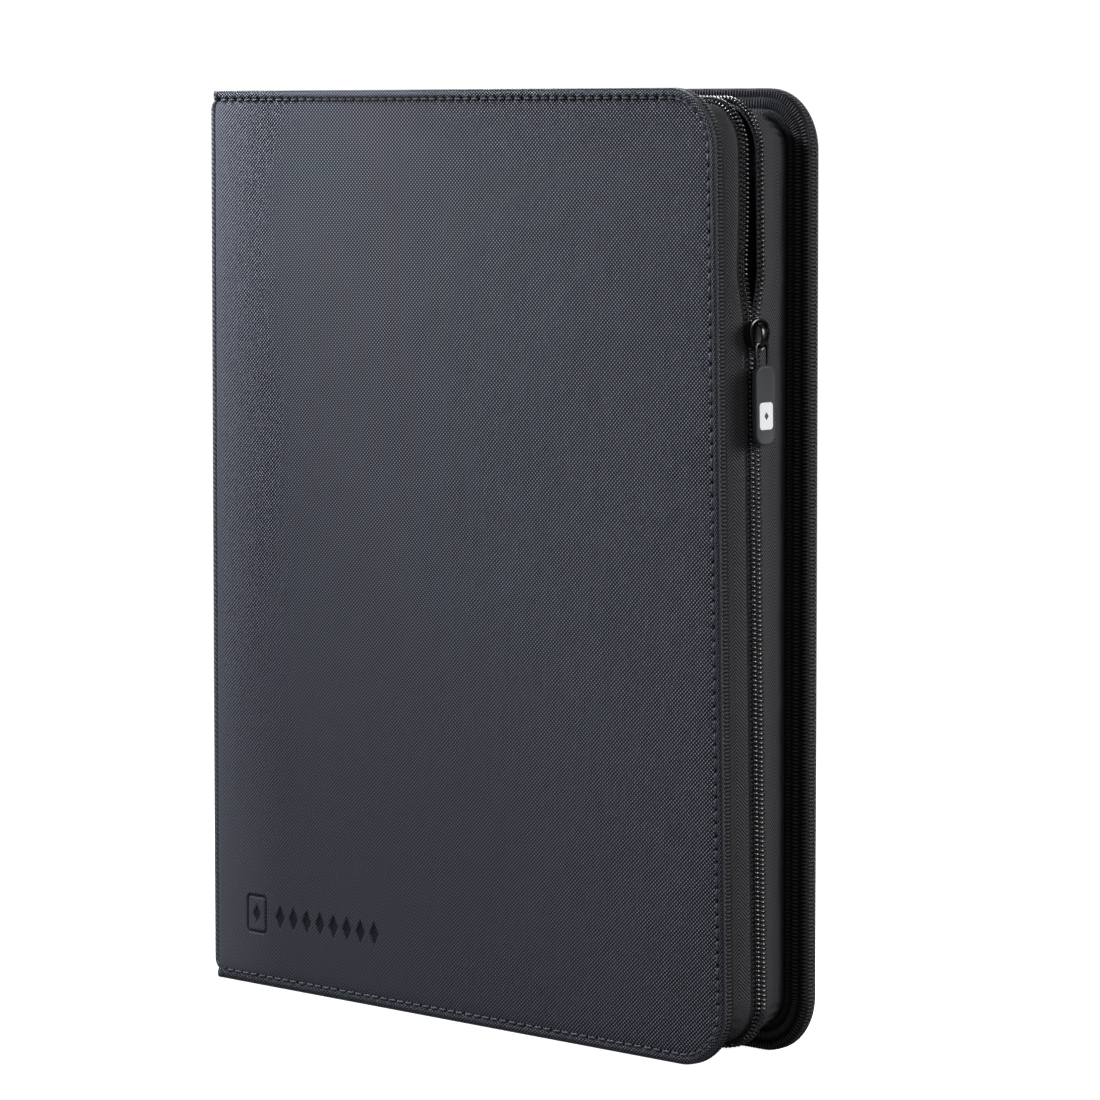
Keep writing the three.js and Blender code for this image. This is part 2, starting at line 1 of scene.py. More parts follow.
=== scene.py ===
"""The looks of the zip-up card binder: cloth, hems, stitching, zip, slider, tab and pocket leaves.

Lengths are in millimetres, and MM turns them into Blender's metres. A place on a cover is given as the CAD
does: u from the spine's outer face, depth in from that cover's outer face, and z. An inset is a distance in
from the cover's outline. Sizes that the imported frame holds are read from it.
"""

import json
import math
from collections import namedtuple

import bmesh
import bpy
import numpy as np
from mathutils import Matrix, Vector

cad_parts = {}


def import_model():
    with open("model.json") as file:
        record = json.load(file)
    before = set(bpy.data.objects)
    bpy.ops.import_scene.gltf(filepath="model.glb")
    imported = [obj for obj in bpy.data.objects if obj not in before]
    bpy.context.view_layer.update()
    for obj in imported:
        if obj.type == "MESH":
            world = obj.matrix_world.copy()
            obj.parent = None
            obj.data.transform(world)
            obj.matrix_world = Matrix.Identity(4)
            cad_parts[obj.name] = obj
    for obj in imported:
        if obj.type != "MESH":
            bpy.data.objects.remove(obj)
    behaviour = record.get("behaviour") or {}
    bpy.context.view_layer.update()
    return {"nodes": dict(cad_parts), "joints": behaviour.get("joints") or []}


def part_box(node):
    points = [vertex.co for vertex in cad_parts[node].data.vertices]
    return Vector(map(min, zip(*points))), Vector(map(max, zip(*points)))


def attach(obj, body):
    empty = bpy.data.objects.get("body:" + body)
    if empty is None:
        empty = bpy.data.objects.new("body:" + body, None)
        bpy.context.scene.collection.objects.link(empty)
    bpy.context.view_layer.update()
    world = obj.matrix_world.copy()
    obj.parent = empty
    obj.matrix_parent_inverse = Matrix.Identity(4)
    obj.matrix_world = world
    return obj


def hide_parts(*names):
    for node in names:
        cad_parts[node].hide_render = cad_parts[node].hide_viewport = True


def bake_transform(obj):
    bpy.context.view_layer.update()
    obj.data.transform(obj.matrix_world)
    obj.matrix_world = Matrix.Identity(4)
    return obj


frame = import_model()

MM = 0.001
TAU = 2 * math.pi

# ---- Sizes read from the frame ----


def box(node):
    """Lowest and highest corner of a CAD node, in millimetres."""
    low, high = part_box(node)
    return np.array(low) / MM, np.array(high) / MM


def joint(name):
    """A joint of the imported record."""
    return next(j for j in frame["joints"] if j["name"] == name)


SPINE_LOW, SPINE_HIGH = box("spine_fabric")
SPINE_X = SPINE_LOW[0]
HEIGHT = SPINE_HIGH[2]
HINGE_X, HINGE_Y = np.array(joint("front_cover_hinge")["pos_m"][:2]) / MM
HINGE_U = HINGE_X - SPINE_X
FRONT_Y = HINGE_Y - HINGE_U
BACK_Y = box("back_cover_fabric")[1][1]
THICKNESS = BACK_Y - FRONT_Y
FRONT_WIDTH = box("front_cover_fabric")[1][0] - SPINE_X
BACK_WIDTH = box("back_cover_fabric")[1][0] - SPINE_X
COVER_START = box("back_cover_fabric")[0][0] - SPINE_X
LINING_FACE = BACK_Y - box("back_cover_lining")[0][1]
LINING_OUTER = BACK_Y - box("back_cover_lining")[1][1]
COVER_DEPTH = BACK_Y - box("back_edge_ribbon")[0][1]
BOARD_INSET = box("back_cover_board")[0][2]
STOP_LOW, STOP_HIGH = box("zip_bottom_stop")
STOP_SIZE = STOP_HIGH - STOP_LOW
ROW_RADIUS = STOP_SIZE[2] / 2
ROW_OFFSET = STOP_SIZE[1] / 2 - ROW_RADIUS
CHAIN_INSET = (STOP_LOW[2] + STOP_HIGH[2]) / 2
CHAIN_DEPTH = (STOP_LOW[1] + STOP_HIGH[1]) / 2 - FRONT_Y
ZIP_START = box("front_zip_coil")[0][0] - SPINE_X
SLIDER_LOW, SLIDER_HIGH = box("zip_slider")
SLIDER_Z = (SLIDER_LOW[2] + SLIDER_HIGH[2]) / 2
SLIDE = np.array(joint("zip_slide")["axis"])
PIVOT = np.array(joint("zip_pull_swing")["pos_m"]) / MM

# The front cover leans out by this much for each millimetre up and each millimetre from its hinge.
LEAN = -SLIDE[1] / SLIDE[2] / (FRONT_WIDTH - CHAIN_INSET - HINGE_U)

# ---- Sizes of what only the looks have ----

CORNER_RADIUS = 22
HEM_WIDTH = 4.0
STITCH_INSET = 3.7
STITCH_PITCH = 4.6
STITCH_GAP = 2.5
THREAD_RADIUS = 0.32
THREAD_LIFT = 0.16  # the middle of each stitch above the cloth
THREAD_DIVE = 0.62  # and how far below that its ends go
CLOTH = 0.55
PANEL_START = 0.1  # the cloth runs on past the board, up to the roll that hides the hinge
PANEL_DEPTH = 0.06
PULL_DEPTH = 0.28  # how far the stitching draws the cloth down, and how far that reaches
PULL_REACH = 1.6
ROLL_DEPTH = 0.5  # how far the cloth goes down into the hinge's groove
ROLL_REACH = 1.2
HEM_START = 0.0
WEAVE_ALONG = 1.68
WEAVE_ACROSS = 1.48
HEM_WEAVE_ACROSS = 1.15
WEAVE_FADE_ALONG = (300, 70)  # from where the weave is whole to where it is flattest and its painted crown highlights fade most, towards the bottom corner by the hinge
WEAVE_FADE_ACROSS = (250, 30)
HINGE_BAND = (42, -6)  # the same for the band beside the hinge, where the weave is stretched flat and a lighter sheen is painted
RIB_PITCH = 1.35
RIB_HEIGHT = 0.4
RIBBON_WIDTH = 11
COIL_PITCH = 1.67
COIL_WIRE = 0.38
COIL_HALF_WIDTH = 1.3
COIL_HALF_HEIGHT = 0.85
COIL_CLOSER = 0.45  # the coils mesh, so each lies this much nearer the zip's middle than its CAD rope
TAPE = 0.5
TAPE_END = 3  # the tape runs on this far past each end of the coil
PARTING = (SLIDER_Z + 1, SLIDER_Z + 24)
PARTING_TOP = (ZIP_START, ZIP_START + 150)
NARROWING = (HEIGHT - 70, HEIGHT - 35)  # where the front row comes back a little, on its way to the top

# A line along a cover's edge: its places, the unit ways out of the cover there, and the distance along it.
Stations = namedtuple("Stations", "u z out_u out_z along")


def smooth(x, low, high):
    """0 below low, 1 above high, and a smooth rise between them."""
    t = np.clip((np.asarray(x, float) - low) / (high - low), 0, 1)
    return t * t * (3 - 2 * t)


def lean(u, z):
    """How far the front cover stands out at a place."""
    return LEAN * np.maximum(u - HINGE_U, 0) * z


def openness(u, z):
    """0 where the zip is closed and 1 where its rows have parted."""
    return smooth(z, *PARTING) * smooth(u, *PARTING_TOP)


class Cover:
    """One cover: where its places are, and where its half of the zip runs.

    inwards is the way along y from its outer face, and leans is 1 on the cover that leans out. parted is how
    far its coil moves off where the zip is open, and narrows the share of that which it loses near the top.
    """

    def __init__(self, name, width, outer_y, inwards, leans, parted, narrows):
        self.name = name
        self.body = f"{name}_cover"
        self.width = width
        self.outer_y = outer_y
        self.inwards = inwards
        self.leans = leans
        self.parted = parted
        self.narrows = narrows
        self.overhang = width - FRONT_WIDTH

    def place(self, u, depth, z):
        u, depth, z = np.broadcast_arrays(u, depth, z)
        y = self.outer_y + self.inwards * depth - self.leans * lean(u, z)
        return np.stack([SPINE_X + u, y, z], axis=-1)

    def chain_depth(self, u, z):
        if self.leans:
            return CHAIN_DEPTH + 0 * u
        return THICKNESS - CHAIN_DEPTH + lean(u, z)

    def row(self, stations):
        """The depth and inset of the middle of this cover's coil."""
        u, z = stations.u, stations.z
        open_here = openness(u, z)
        meshed = COIL_CLOSER * (1 - open_here)
        parted = self.parted * (1 - self.narrows * smooth(z, *NARROWING))
        depth = self.chain_depth(u, z) - ROW_OFFSET + meshed - parted * open_here
        inset = CHAIN_INSET + self.overhang * stations.out_u
        return depth, inset


FRONT = Cover("front", FRONT_WIDTH, FRONT_Y, 1, 1, parted=3.0, narrows=0.45)
BACK = Cover("back", BACK_WIDTH, BACK_Y, -1, 0, parted=3.1, narrows=0.0)
COVERS = (FRONT, BACK)

# ---- Meshes ----


def linked(name, data):
    """A new object in the scene, with that data."""
    made = bpy.data.objects.new(name, data)
    bpy.context.scene.collection.objects.link(made)
    return made


def build(name, points, blocks, material, sharp=math.radians(50), relief=None):
    """A mesh object from points in mm and blocks of (faces, uvs in mm). relief is 0 to 1 for each point."""
    polygons = [tuple(face) for faces, _ in blocks for face in np.asarray(faces).tolist()]
    uvs = np.concatenate([np.asarray(uv, float).reshape(-1) for _, uv in blocks]) * MM
    mesh = bpy.data.meshes.new(name)
    mesh.from_pydata((np.asarray(points, float) * MM).tolist(), [], polygons)
    mesh.uv_layers.new(name="metres").data.foreach_set("uv", uvs)
    if relief is not None:
        mesh.attributes.new("relief", "FLOAT", "POINT").data.foreach_set("value", np.ravel(relief))
    tool = bmesh.new()
    tool.from_mesh(mesh)
    bmesh.ops.recalc_face_normals(tool, faces=tool.faces)
    tool.to_mesh(mesh)
    tool.free()
    mesh.shade_smooth()
    mesh.set_sharp_from_angle(angle=sharp)
    mesh.materials.append(material)
    return linked(name, mesh)


def quads(grid):
    """Faces of a grid of point numbers, or their corners where grid holds a value for each point."""
    corners = [grid[:-1, :-1], grid[:-1, 1:], grid[1:, 1:], grid[1:, :-1]]
    stacked = np.stack(corners, axis=2)
    return stacked.reshape((-1, 4) + grid.shape[2:])


def around(rings):
    """Distance round a ring of points, averaged over the rings, with the way back to its start."""
    closed = np.concatenate([rings, rings[:, :1]], axis=1)
    steps = np.linalg.norm(np.diff(closed, axis=1), axis=2).mean(axis=0)
    return np.concatenate([[0], np.cumsum(steps)])


def tube(name, rings, along, material, loop=False, sharp=math.radians(50), relief=None):
    """A closed solid through rings of points, (stations, points, 3), with flat ends or joined in a loop."""
    count, sides = rings.shape[:2]
    ids = np.arange(count * sides).reshape(count, sides)
    ids = np.concatenate([ids, ids[:, :1]], axis=1)
    along = np.asarray(along, float)
    if loop:
        ids = np.concatenate([ids, ids[:1]], axis=0)
        along = np.append(along, along[-1] + along[1] - along[0])
    uv = np.stack(np.meshgrid(along, around(rings), indexing="ij"), axis=-1)
    blocks = [(quads(ids), quads(uv))]
    if not loop:
        ends = ids[[0, -1], :-1]
        blocks.append((ends, np.zeros(ends.shape + (2,))))
    return build(name, rings.reshape(-1, 3), blocks, material, sharp, relief)


def slab(name, outer, inner, uv, material, relief=None):
    """A closed sheet between two grids of points, (rows, columns, 3)."""
    rows, columns = outer.shape[:2]
    top = np.arange(rows * columns).reshape(rows, columns)
    under = top + rows * columns

    def rim(grid):
        return np.concatenate([grid[0, :-1], grid[:-1, -1], grid[-1, :0:-1], grid[:0:-1, 0], grid[:1, 0]])

    edge = np.stack([rim(top), rim(under)])
    edge_uv = np.stack([rim(uv), rim(uv)])
    points = np.concatenate([outer.reshape(-1, 3), inner.reshape(-1, 3)])
    blocks = [(quads(top), quads(uv)), (quads(under), quads(uv)), (quads(edge), quads(edge_uv))]
    if relief is not None:
        relief = np.stack([relief, relief])
    return build(name, points, blocks, material, relief=relief)


def joined(name, parts):
    """Several built pieces as one object."""
    mesh = bpy.data.meshes.new(name)
    tool = bmesh.new()
    for part in parts:
        tool.from_mesh(part.data)
    tool.to_mesh(mesh)
    tool.free()
    mesh.materials.append(parts[0].data.materials[0])
    for part in parts:
        bpy.data.objects.remove(part)
    return linked(name, mesh)


def unit_rows(vectors):
    return vectors / np.linalg.norm(vectors, axis=-1, keepdims=True)


def left_of(lines):
    """Unit ways square to lines in a plane, (lines, points, 2)."""
    ahead = unit_rows(np.gradient(lines, axis=1))
    return np.stack([-ahead[..., 1], ahead[..., 0]], axis=-1)


def ring_round(first, second, radius, sides):
    """Ways from a place to a ring of points round it, in the plane of two unit ways: (places, sides, 3)."""
    angle = TAU * np.arange(sides)[:, None] / sides
    return radius * (first[:, None] * np.cos(angle) + second[:, None] * np.sin(angle))


# ---- Lines along the covers ----


def three_sides(cover, start, spacing, inset=0.0):
    """Stations along a cover's bottom, fore-edge and top, evenly spaced along the line at that inset."""
    straight = cover.width - CORNER_RADIUS - start
    arc = (CORNER_RADIUS - inset) * math.pi / 2
    side = HEIGHT - 2 * CORNER_RADIUS
    ends = np.cumsum([straight, arc, side, arc, straight])
    along = np.linspace(0, ends[4], round(ends[4] / spacing) + 1)
    turned = np.clip((along - ends[0]) / arc, 0, 1) + np.clip((along - ends[2]) / arc, 0, 1)
    angle = (turned - 1) * math.pi / 2
    out_u = np.cos(angle)
    out_z = np.sin(angle)
    u = start + np.clip(along, 0, straight) - np.clip(along - ends[3], 0, straight) + CORNER_RADIUS * out_u
    z = CORNER_RADIUS + np.clip(along - ends[1], 0, side) + CORNER_RADIUS * out_z
    return Stations(u, z, out_u, out_z, along)


def on_edge(cover, at, inset, depth):
    """Places at insets and depths, each one value or (stations, points)."""
    column = (slice(None), None)
    u = at.u[column] - at.out_u[column] * inset
    z = at.z[column] - at.out_z[column] * inset
    return cover.place(u, depth, z)


def edge_sweep(name, cover, at, section, material, sharp=math.radians(50), relief=None):
    """A solid along stations. section holds inset and depth: (points, 2), or (stations, points, 2)."""
    section = np.asarray(section, float)
    if section.ndim == 2:
        section = np.broadcast_to(section, (len(at.u),) + section.shape)
    rings = on_edge(cover, at, section[:, :, 0], section[:, :, 1])
    return tube(name, rings, at.along, material, sharp=sharp, relief=relief)


def repeated(shape, at):
    """A copy of a section for each station, to be changed there, and a relief of 0 for each of its points."""
    section = np.repeat(np.array(shape, float)[None], len(at.u), axis=0)
    return section, np.zeros(section.shape[:2])


def stitch_cycle(along):
    """0 in the middle of each stitch and 1 in the middle of each gap, where the needle goes down."""
    return np.abs(2 * ((along / STITCH_PITCH) % 1) - 1)


# ---- Node materials ----


class Look:
    """A node material under construction. Sockets or plain numbers can be given to each step."""

    def __init__(self, name, roughness, metallic=0.0, specular=0.5, coat=0.0, coat_roughness=0.1, sheen=0.0):
        self.material = bpy.data.materials.new(name)
        self.material.use_nodes = True
        self.tree = self.material.node_tree
        self.shader = self.tree.nodes["Principled BSDF"]
        fixed = {
            "Metallic": metallic,
            "Roughness": roughness,
            "Specular IOR Level": specular,
            "Coat Weight": coat,
            "Coat Roughness": coat_roughness,
            "Sheen Weight": sheen,
        }
        for socket, value in fixed.items():
            self.shader.inputs[socket].default_value = value

    def add(self, kind, output=0, inputs=None, **settings):
        made = self.tree.nodes.new(kind)
        for key, value in settings.items():
            setattr(made, key, value)
        for key, value in (inputs or {}).items():
            self.feed(made.inputs[key], value)
        return made.outputs[output]

    def feed(self, socket, value):
        if isinstance(value, bpy.types.NodeSocket):
            self.tree.links.new(value, socket)
        else:
            socket.default_value = value

    def math(self, operation, first, second=0.0, third=0.0):
        return self.add("ShaderNodeMath", operation=operation, inputs={0: first, 1: second, 2: third})

    def wave(self, coordinate, pitch):
        """A cosine of a coordinate in metres, with that pitch in mm, from -1 to 1."""
        return self.math("COSINE", self.math("MULTIPLY", coordinate, TAU / (pitch * MM)))

    def unit(self, value):
        """Turns -1 to 1 into 0 to 1."""
        return self.math("MULTIPLY_ADD", value, 0.5, 0.5)

    def crowns(self, along, across, pitch_along, pitch_across):
        """The staggered bumps of a weave, from 0 to 1."""
        lengthways = self.wave(along, pitch_along)
        crossways = self.wave(across, pitch_across)
        return self.unit(self.math("MULTIPLY", lengthways, crossways))

    def ridges(self, along, across, slope, pitch):
        """Ridges that slant across the piece, from 0 to 1."""
        return self.unit(self.wave(self.math("MULTIPLY_ADD", across, slope, along), pitch))

    def metres(self):
        """Along and across the piece, in metres."""
        position = self.add("ShaderNodeUVMap", uv_map="metres")
        split = self.add("ShaderNodeSeparateXYZ", inputs={0: position}).node
        return split.outputs[0], split.outputs[1]

    def noise(self, size, detail=3.0, roughness=0.55):
        """Noise from 0 to 1 whose blotches are about that many mm."""
        inputs = {
            "Vector": self.add("ShaderNodeTexCoord", output="Object"),
            "Scale": 1 / (size * MM),
            "Detail": detail,
            "Roughness": roughness,
        }
        return self.add("ShaderNodeTexNoise", inputs=inputs)

    def mix(self, share, dark, light):
        made = self.add("ShaderNodeMix", data_type="RGBA", output=2).node
        self.feed(made.inputs[0], share)
        self.feed(made.inputs[6], dark if isinstance(dark, bpy.types.NodeSocket) else (*dark, 1))
        self.feed(made.inputs[7], light if isinstance(light, bpy.types.NodeSocket) else (*light, 1))
        return made.outputs[2]

    def spread(self, value, low, high):
        """Carries a value of 0 to 1 onto low to high."""
        return self.math("MULTIPLY_ADD", value, high - low, low)

    def ramp(self, value, none, full):
        """A smooth rise from 0 where a value in metres is none mm to 1 where it is full mm."""
        inputs = {"Value": value, "From Min": none * MM, "From Max": full * MM}
        return self.add("ShaderNodeMapRange", inputs=inputs, interpolation_type="SMOOTHSTEP")

    def relief(self):
        """How far a point stands up in the mesh's own pattern, from 0 to 1."""
        return self.add("ShaderNodeAttribute", output="Fac", attribute_name="relief")

    def colour(self, socket):
        self.feed(self.shader.inputs["Base Color"], socket)

    def roughness(self, socket):
        self.feed(self.shader.inputs["Roughness"], socket)

    def bump(self, *layers):
        """Each layer is (height from 0 to 1, depth in mm), laid over the one before."""
        normal = None
        for height, depth in layers:
            inputs = {"Height": height, "Distance": depth * MM, "Strength": 1.0}
            if normal is not None:
                inputs["Normal"] = normal
            normal = self.add("ShaderNodeBump", inputs=inputs)
        self.tree.links.new(normal, self.shader.inputs["Normal"])


def speckled(look, grain, colours, roughness, depth):
    """Lets one noise set a material's colour, roughness and fine bump."""
    look.colour(look.mix(grain, *colours))
    look.roughness(look.spread(grain, *roughness))
    look.bump((grain, depth))
    return look.material


def coated_fabric():
    """Woven polyester with a satin coat: staggered thread crowns with pits between them. The crowns are
    painted as bright bluish highlights, and the pits near black as shade.

    Towards the bottom corner by the hinge, around the mark, the weave is flattened and its painted crown
    highlights fade out. Beside the hinge the cloth is stretched smooth and painted lighter, as a sheen.
    """
    look = Look("coated_fabric", roughness=0.42, specular=0.22)
    along, across = look.metres()
    height = look.crowns(along, across, WEAVE_ALONG, WEAVE_ACROSS)
    # how far the weave is flattened and its painted crown highlights faded, most towards the bottom corner by
    # the hinge
    towards_low_corner = look.math("MULTIPLY", look.ramp(along, *WEAVE_FADE_ALONG), look.ramp(across, *WEAVE_FADE_ACROSS))
    weave_fade = look.math("MULTIPLY", towards_low_corner, 0.8)
    beside_hinge = look.ramp(along, *HINGE_BAND)
    # where the colour turns flat: the faded weave, and the hinge band with its painted sheen
    patches = look.math("MAXIMUM", weave_fade, beside_hinge)
    blotch = look.noise(38, detail=4)
    # the thread crowns are painted as bright bluish highlights, and the pits between them near black as
    # painted shade
    threads = look.mix(look.math("POWER", height, 6), (0.0, 0.0, 0.0005), (0.62, 0.64, 0.76))
    aged_with_painted_weave = look.mix(look.spread(blotch, 0.0, 0.1), threads, (0.018, 0.019, 0.024))
    # a flat colour where the weave fades, painted lighter beside the hinge as a sheen
    flat_coat_and_hinge_sheen = look.mix(beside_hinge, (0.068, 0.069, 0.080), (0.122, 0.125, 0.139))
    smoothed = look.mix(patches, aged_with_painted_weave, flat_coat_and_hinge_sheen)
    pressed = look.mix(look.relief(), smoothed, (0.003, 0.003, 0.004))
    look.colour(pressed)
    look.roughness(look.math("MULTIPLY_ADD", height, -0.5, look.spread(blotch, 0.78, 0.9)))
    stretched = look.math("MAXIMUM", look.math("MULTIPLY", beside_hinge, 0.6), look.ramp(along, 10, 0))
    levelled = look.math("MAXIMUM", weave_fade, stretched)
    standing = look.math("MULTIPLY", height, look.spread(levelled, 1.0, 0.0))
    look.bump((standing, 0.55))
    return look.material


def hem_fabric():
    """The same cloth where it is folded over and pulled tight, so that its threads lie closer together."""
    look = Look("hem_fabric", roughness=0.45, specular=0.25)
    along, across = look.metres()
    height = look.crowns(along, across, WEAVE_ALONG, HEM_WEAVE_ACROSS)
    worn = look.noise(9, detail=5)
    # thread crowns painted as highlights, the pits between them painted near black as shade
    threads = look.mix(look.math("POWER", height, 4), (0.0, 0.0, 0.0005), (0.30, 0.31, 0.37))
    soiled_with_painted_weave = look.mix(look.spread(worn, 0.0, 0.2), threads, (0.022, 0.023, 0.027))
    # relief marks the stitch pits, which are painted near black as shade
    look.colour(look.mix(look.relief(), soiled_with_painted_weave, (0.0015, 0.0015, 0.002)))
    look.roughness(look.spread(worn, 0.36, 0.55))
    look.bump((height, 0.32))
    return look.material


def piping_cloth():
    """The smooth fold along the hem's outer edge, painted a little paler as the highlight along the fold."""
    look = Look("piping_cloth", roughness=0.4, specular=0.35)
    along, across = look.metres()
    twist = look.ridges(along, across, 1.0, 1.3)
    worn = look.noise(6, detail=4)
    threads = look.mix(twist, (0.010, 0.010, 0.012), (0.075, 0.076, 0.088))
    # the fold's colour is painted a little paler, as its highlight
    look.colour(look.mix(look.spread(worn, 0.0, 0.5), threads, (0.040, 0.041, 0.047)))
    look.roughness(look.spread(worn, 0.32, 0.5))
    look.bump((twist, 0.12))
    return look.material


def rolled_cloth():
    """The cloth rolled into each hinge: stretched smooth, painted pale as a highlight, with short creases
    painted darker as shade.
    """
    look = Look("rolled_cloth", roughness=0.45, specular=0.3)
    along, across = look.metres()
    crease = look.ridges(along, across, 0.6, 1.9)
    worn = look.noise(12, detail=4)
    # pale overall as a painted highlight, darker in the crease troughs as painted shade
    look.colour(look.mix(crease, (0.085, 0.086, 0.099), (0.165, 0.167, 0.19)))
    look.roughness(look.spread(worn, 0.36, 0.55))
    look.bump((crease, 0.2))
    return look.material


def thread():
    """Twisted sewing thread."""
    look = Look("thread", roughness=0.45, sheen=0.1)
    along, across = look.metres()
    twist = look.ridges(along, across, 0.7, 0.45)
    look.colour(look.mix(twist, (0.04, 0.04, 0.045), (0.19, 0.19, 0.21)))
    look.bump((twist, 0.08))
    return look.material


def ribbed_ribbon():
    """Ribbon woven over cords: painted near black between the cords as shade, with fine threads across each.
    """
    look = Look("ribbed_ribbon", roughness=0.5, specular=0.25)
    threads = look.unit(look.wave(look.metres()[1], 0.42))
    fuzz = look.noise(0.5)
    crown = look.math("POWER", look.relief(), 4.5)
    cords = look.mix(threads, (0.085, 0.085, 0.092), (0.18, 0.18, 0.195))
    # near black where the cords are low is painted shade between them
    look.colour(look.mix(crown, (0.001, 0.001, 0.001), cords))
    look.roughness(look.spread(fuzz, 0.42, 0.62))
    look.bump((fuzz, 0.03), (threads, 0.06))
    return look.material


def zip_tape():
    """Herringbone tape: slanting threads that change direction in narrow bands."""
    look = Look("zip_tape", roughness=0.7, specular=0.3)
    along, across = look.metres()
    band = look.math("PINGPONG", across, 3.6 * MM)
    lines = look.ridges(along, band, 1.2, 1.35)
    cross = look.unit(look.wave(across, 0.6))
    fuzz = look.noise(0.6)
    uneven = look.noise(14, detail=3)
    threads = look.mix(look.math("POWER", lines, 1.6), (0.001, 0.001, 0.002), (0.088, 0.088, 0.098))
    look.colour(look.mix(look.spread(uneven, 0.0, 0.22), threads, (0.026, 0.026, 0.030)))
    look.roughness(look.spread(fuzz, 0.6, 0.8))
    look.bump((fuzz, 0.03), (cross, 0.03), (lines, 0.16))
    return look.material


def coil_nylon():
    """Smooth nylon wire, lightly scratched."""
    look = Look("coil_nylon", roughness=0.22, specular=0.9)
    scratches = look.noise(1.2, detail=4)
    return speckled(look, scratches, ((0.010, 0.010, 0.012), (0.024, 0.024, 0.027)), (0.16, 0.3), 0.01)


def black_metal():
    """Polished black plate with fine scuffs."""
    look = Look("black_metal", roughness=0.2, metallic=1.0, coat=0.3, coat_roughness=0.1)
    scuffs = look.noise(1.6, detail=6, roughness=0.7)
    return speckled(look, scuffs, ((0.045, 0.045, 0.048), (0.10, 0.10, 0.105)), (0.14, 0.32), 0.008)


def soft_rubber():
    """Moulded soft tab, matt with a fine grain."""
    look = Look("soft_rubber", roughness=0.62, specular=0.35)
    grain = look.noise(0.35, detail=3)
    patches = look.noise(5, detail=4)
    look.colour(look.mix(patches, (0.042, 0.044, 0.048), (0.052, 0.054, 0.059)))
    look.roughness(look.spread(patches, 0.55, 0.7))
    look.bump((grain, 0.02))
    return look.material


def white_print():
    """White ink on the soft tab."""
    look = Look("white_print", roughness=0.5, specular=0.4)
    grain = look.noise(0.4, detail=3)
    return speckled(look, grain, ((0.84, 0.84, 0.85), (0.93, 0.93, 0.93)), (0.42, 0.55), 0.01)


def dark_print():
    """Dark ink on the white."""
    look = Look("dark_print", roughness=0.55)
    grain = look.noise(0.4, detail=3)
    look.colour(look.mix(grain, (0.03, 0.03, 0.033), (0.06, 0.06, 0.065)))
    look.bump((grain, 0.01))
    return look.material


def lining_cloth():
    """Thin, matt, plain-woven cloth."""
    look = Look("lining_cloth", roughness=0.8, specular=0.3, sheen=0.1)
    along, across = look.metres()
    threads = look.crowns(along, across, 0.8, 0.8)
    uneven = look.noise(30, detail=4)
    look.colour(look.mix(look.spread(uneven, 0.2, 0.8), (0.010, 0.010, 0.011), (0.020, 0.020, 0.022)))
    look.roughness(look.spread(uneven, 0.7, 0.88))
    look.bump((threads, 0.06))
    return look.material


def leaf_film():
    """Clear film over a black backing: glossy and rippled over the pockets, and stippled along the welds."""
    look = Look("leaf_film", roughness=0.25, specular=0.5)
    along, across = look.metres()
    stipple = look.crowns(along, across, 1.0, 1.0)
    ripple = look.noise(26, detail=1.5)
    haze = look.noise(3, detail=4)
    pocket = look.relief()
    weld = look.mix(stipple, (0.012, 0.012, 0.014), (0.075, 0.076, 0.082))
    film = look.mix(haze, (0.006, 0.006, 0.007), (0.014, 0.014, 0.016))
    look.colour(look.mix(pocket, weld, film))
    look.roughness(look.math("MULTIPLY_ADD", pocket, -0.42, look.spread(haze, 0.62, 0.72)))
    look.bump((look.math("MULTIPLY", ripple, pocket), 0.5), (haze, 0.01))
    return look.material


def binding_plastic():
    """Moulded strip, with a fine grain."""
    look = Look("binding_plastic", roughness=0.5)
    grain = look.noise(0.8, detail=4)
    return speckled(look, grain, ((0.010, 0.010, 0.012), (0.018, 0.018, 0.020)), (0.42, 0.6), 0.03)


def grey_board():
    """Pressed paper board, with flecks of fibre."""
    look = Look("grey_board", roughness=0.9, specular=0.2)
    flecks = look.noise(0.6, detail=5, roughness=0.7)
    clouds = look.noise(12, detail=4)
    base = look.mix(clouds, (0.15, 0.13, 0.10), (0.21, 0.18, 0.15))
    look.colour(look.mix(look.spread(flecks, 0.0, 0.5), base, (0.32, 0.29, 0.25)))
    look.roughness(look.spread(flecks, 0.82, 0.95))
    look.bump((flecks, 0.05))
    return look.material


LOOKS = {
    make.__name__: make()
    for make in (
        coated_fabric,
        hem_fabric,
        piping_cloth,
        rolled_cloth,
        thread,
        ribbed_ribbon,
        zip_tape,
        coil_nylon,
        black_metal,
        soft_rubber,
        white_print,
        dark_print,
        lining_cloth,
        leaf_film,
        binding_plastic,
        grey_board,
    )
}

# ---- The covers' outer cloth ----

MARK_LOW = (14.0, 19.0)  # the corner of the mark nearest the hinge and the bottom, as u and z
MARK_HIGH = (94.0, 36.0)
MARK_STEP = 0.36
MARK_DEPTH = 0.4
CARD_CENTRE = 23.0
CARD_SIZE = (10.5, 14.0)
CARD_CORNER = 1.6
CARD_LINE = 1.1
PIP_SIZE = (2.2, 3.6)
LOZENGES = 8
LOZENGE_START = 36.5
LOZENGE_PITCH = 7.6
LOZENGE_SIZE = (2.5, 4.6)
PRESSED_EDGE = 0.25


def card(u, z, centre):
    """Signed distance from a round-cornered card's outline, negative inside it."""
    x = np.abs(u - centre[0]) - (CARD_SIZE[0] / 2 - CARD_CORNER)
    y = np.abs(z - centre[1]) - (CARD_SIZE[1] / 2 - CARD_CORNER)
    outside = np.hypot(np.maximum(x, 0), np.maximum(y, 0))
    return outside + np.minimum(np.maximum(x, y), 0) - CARD_CORNER


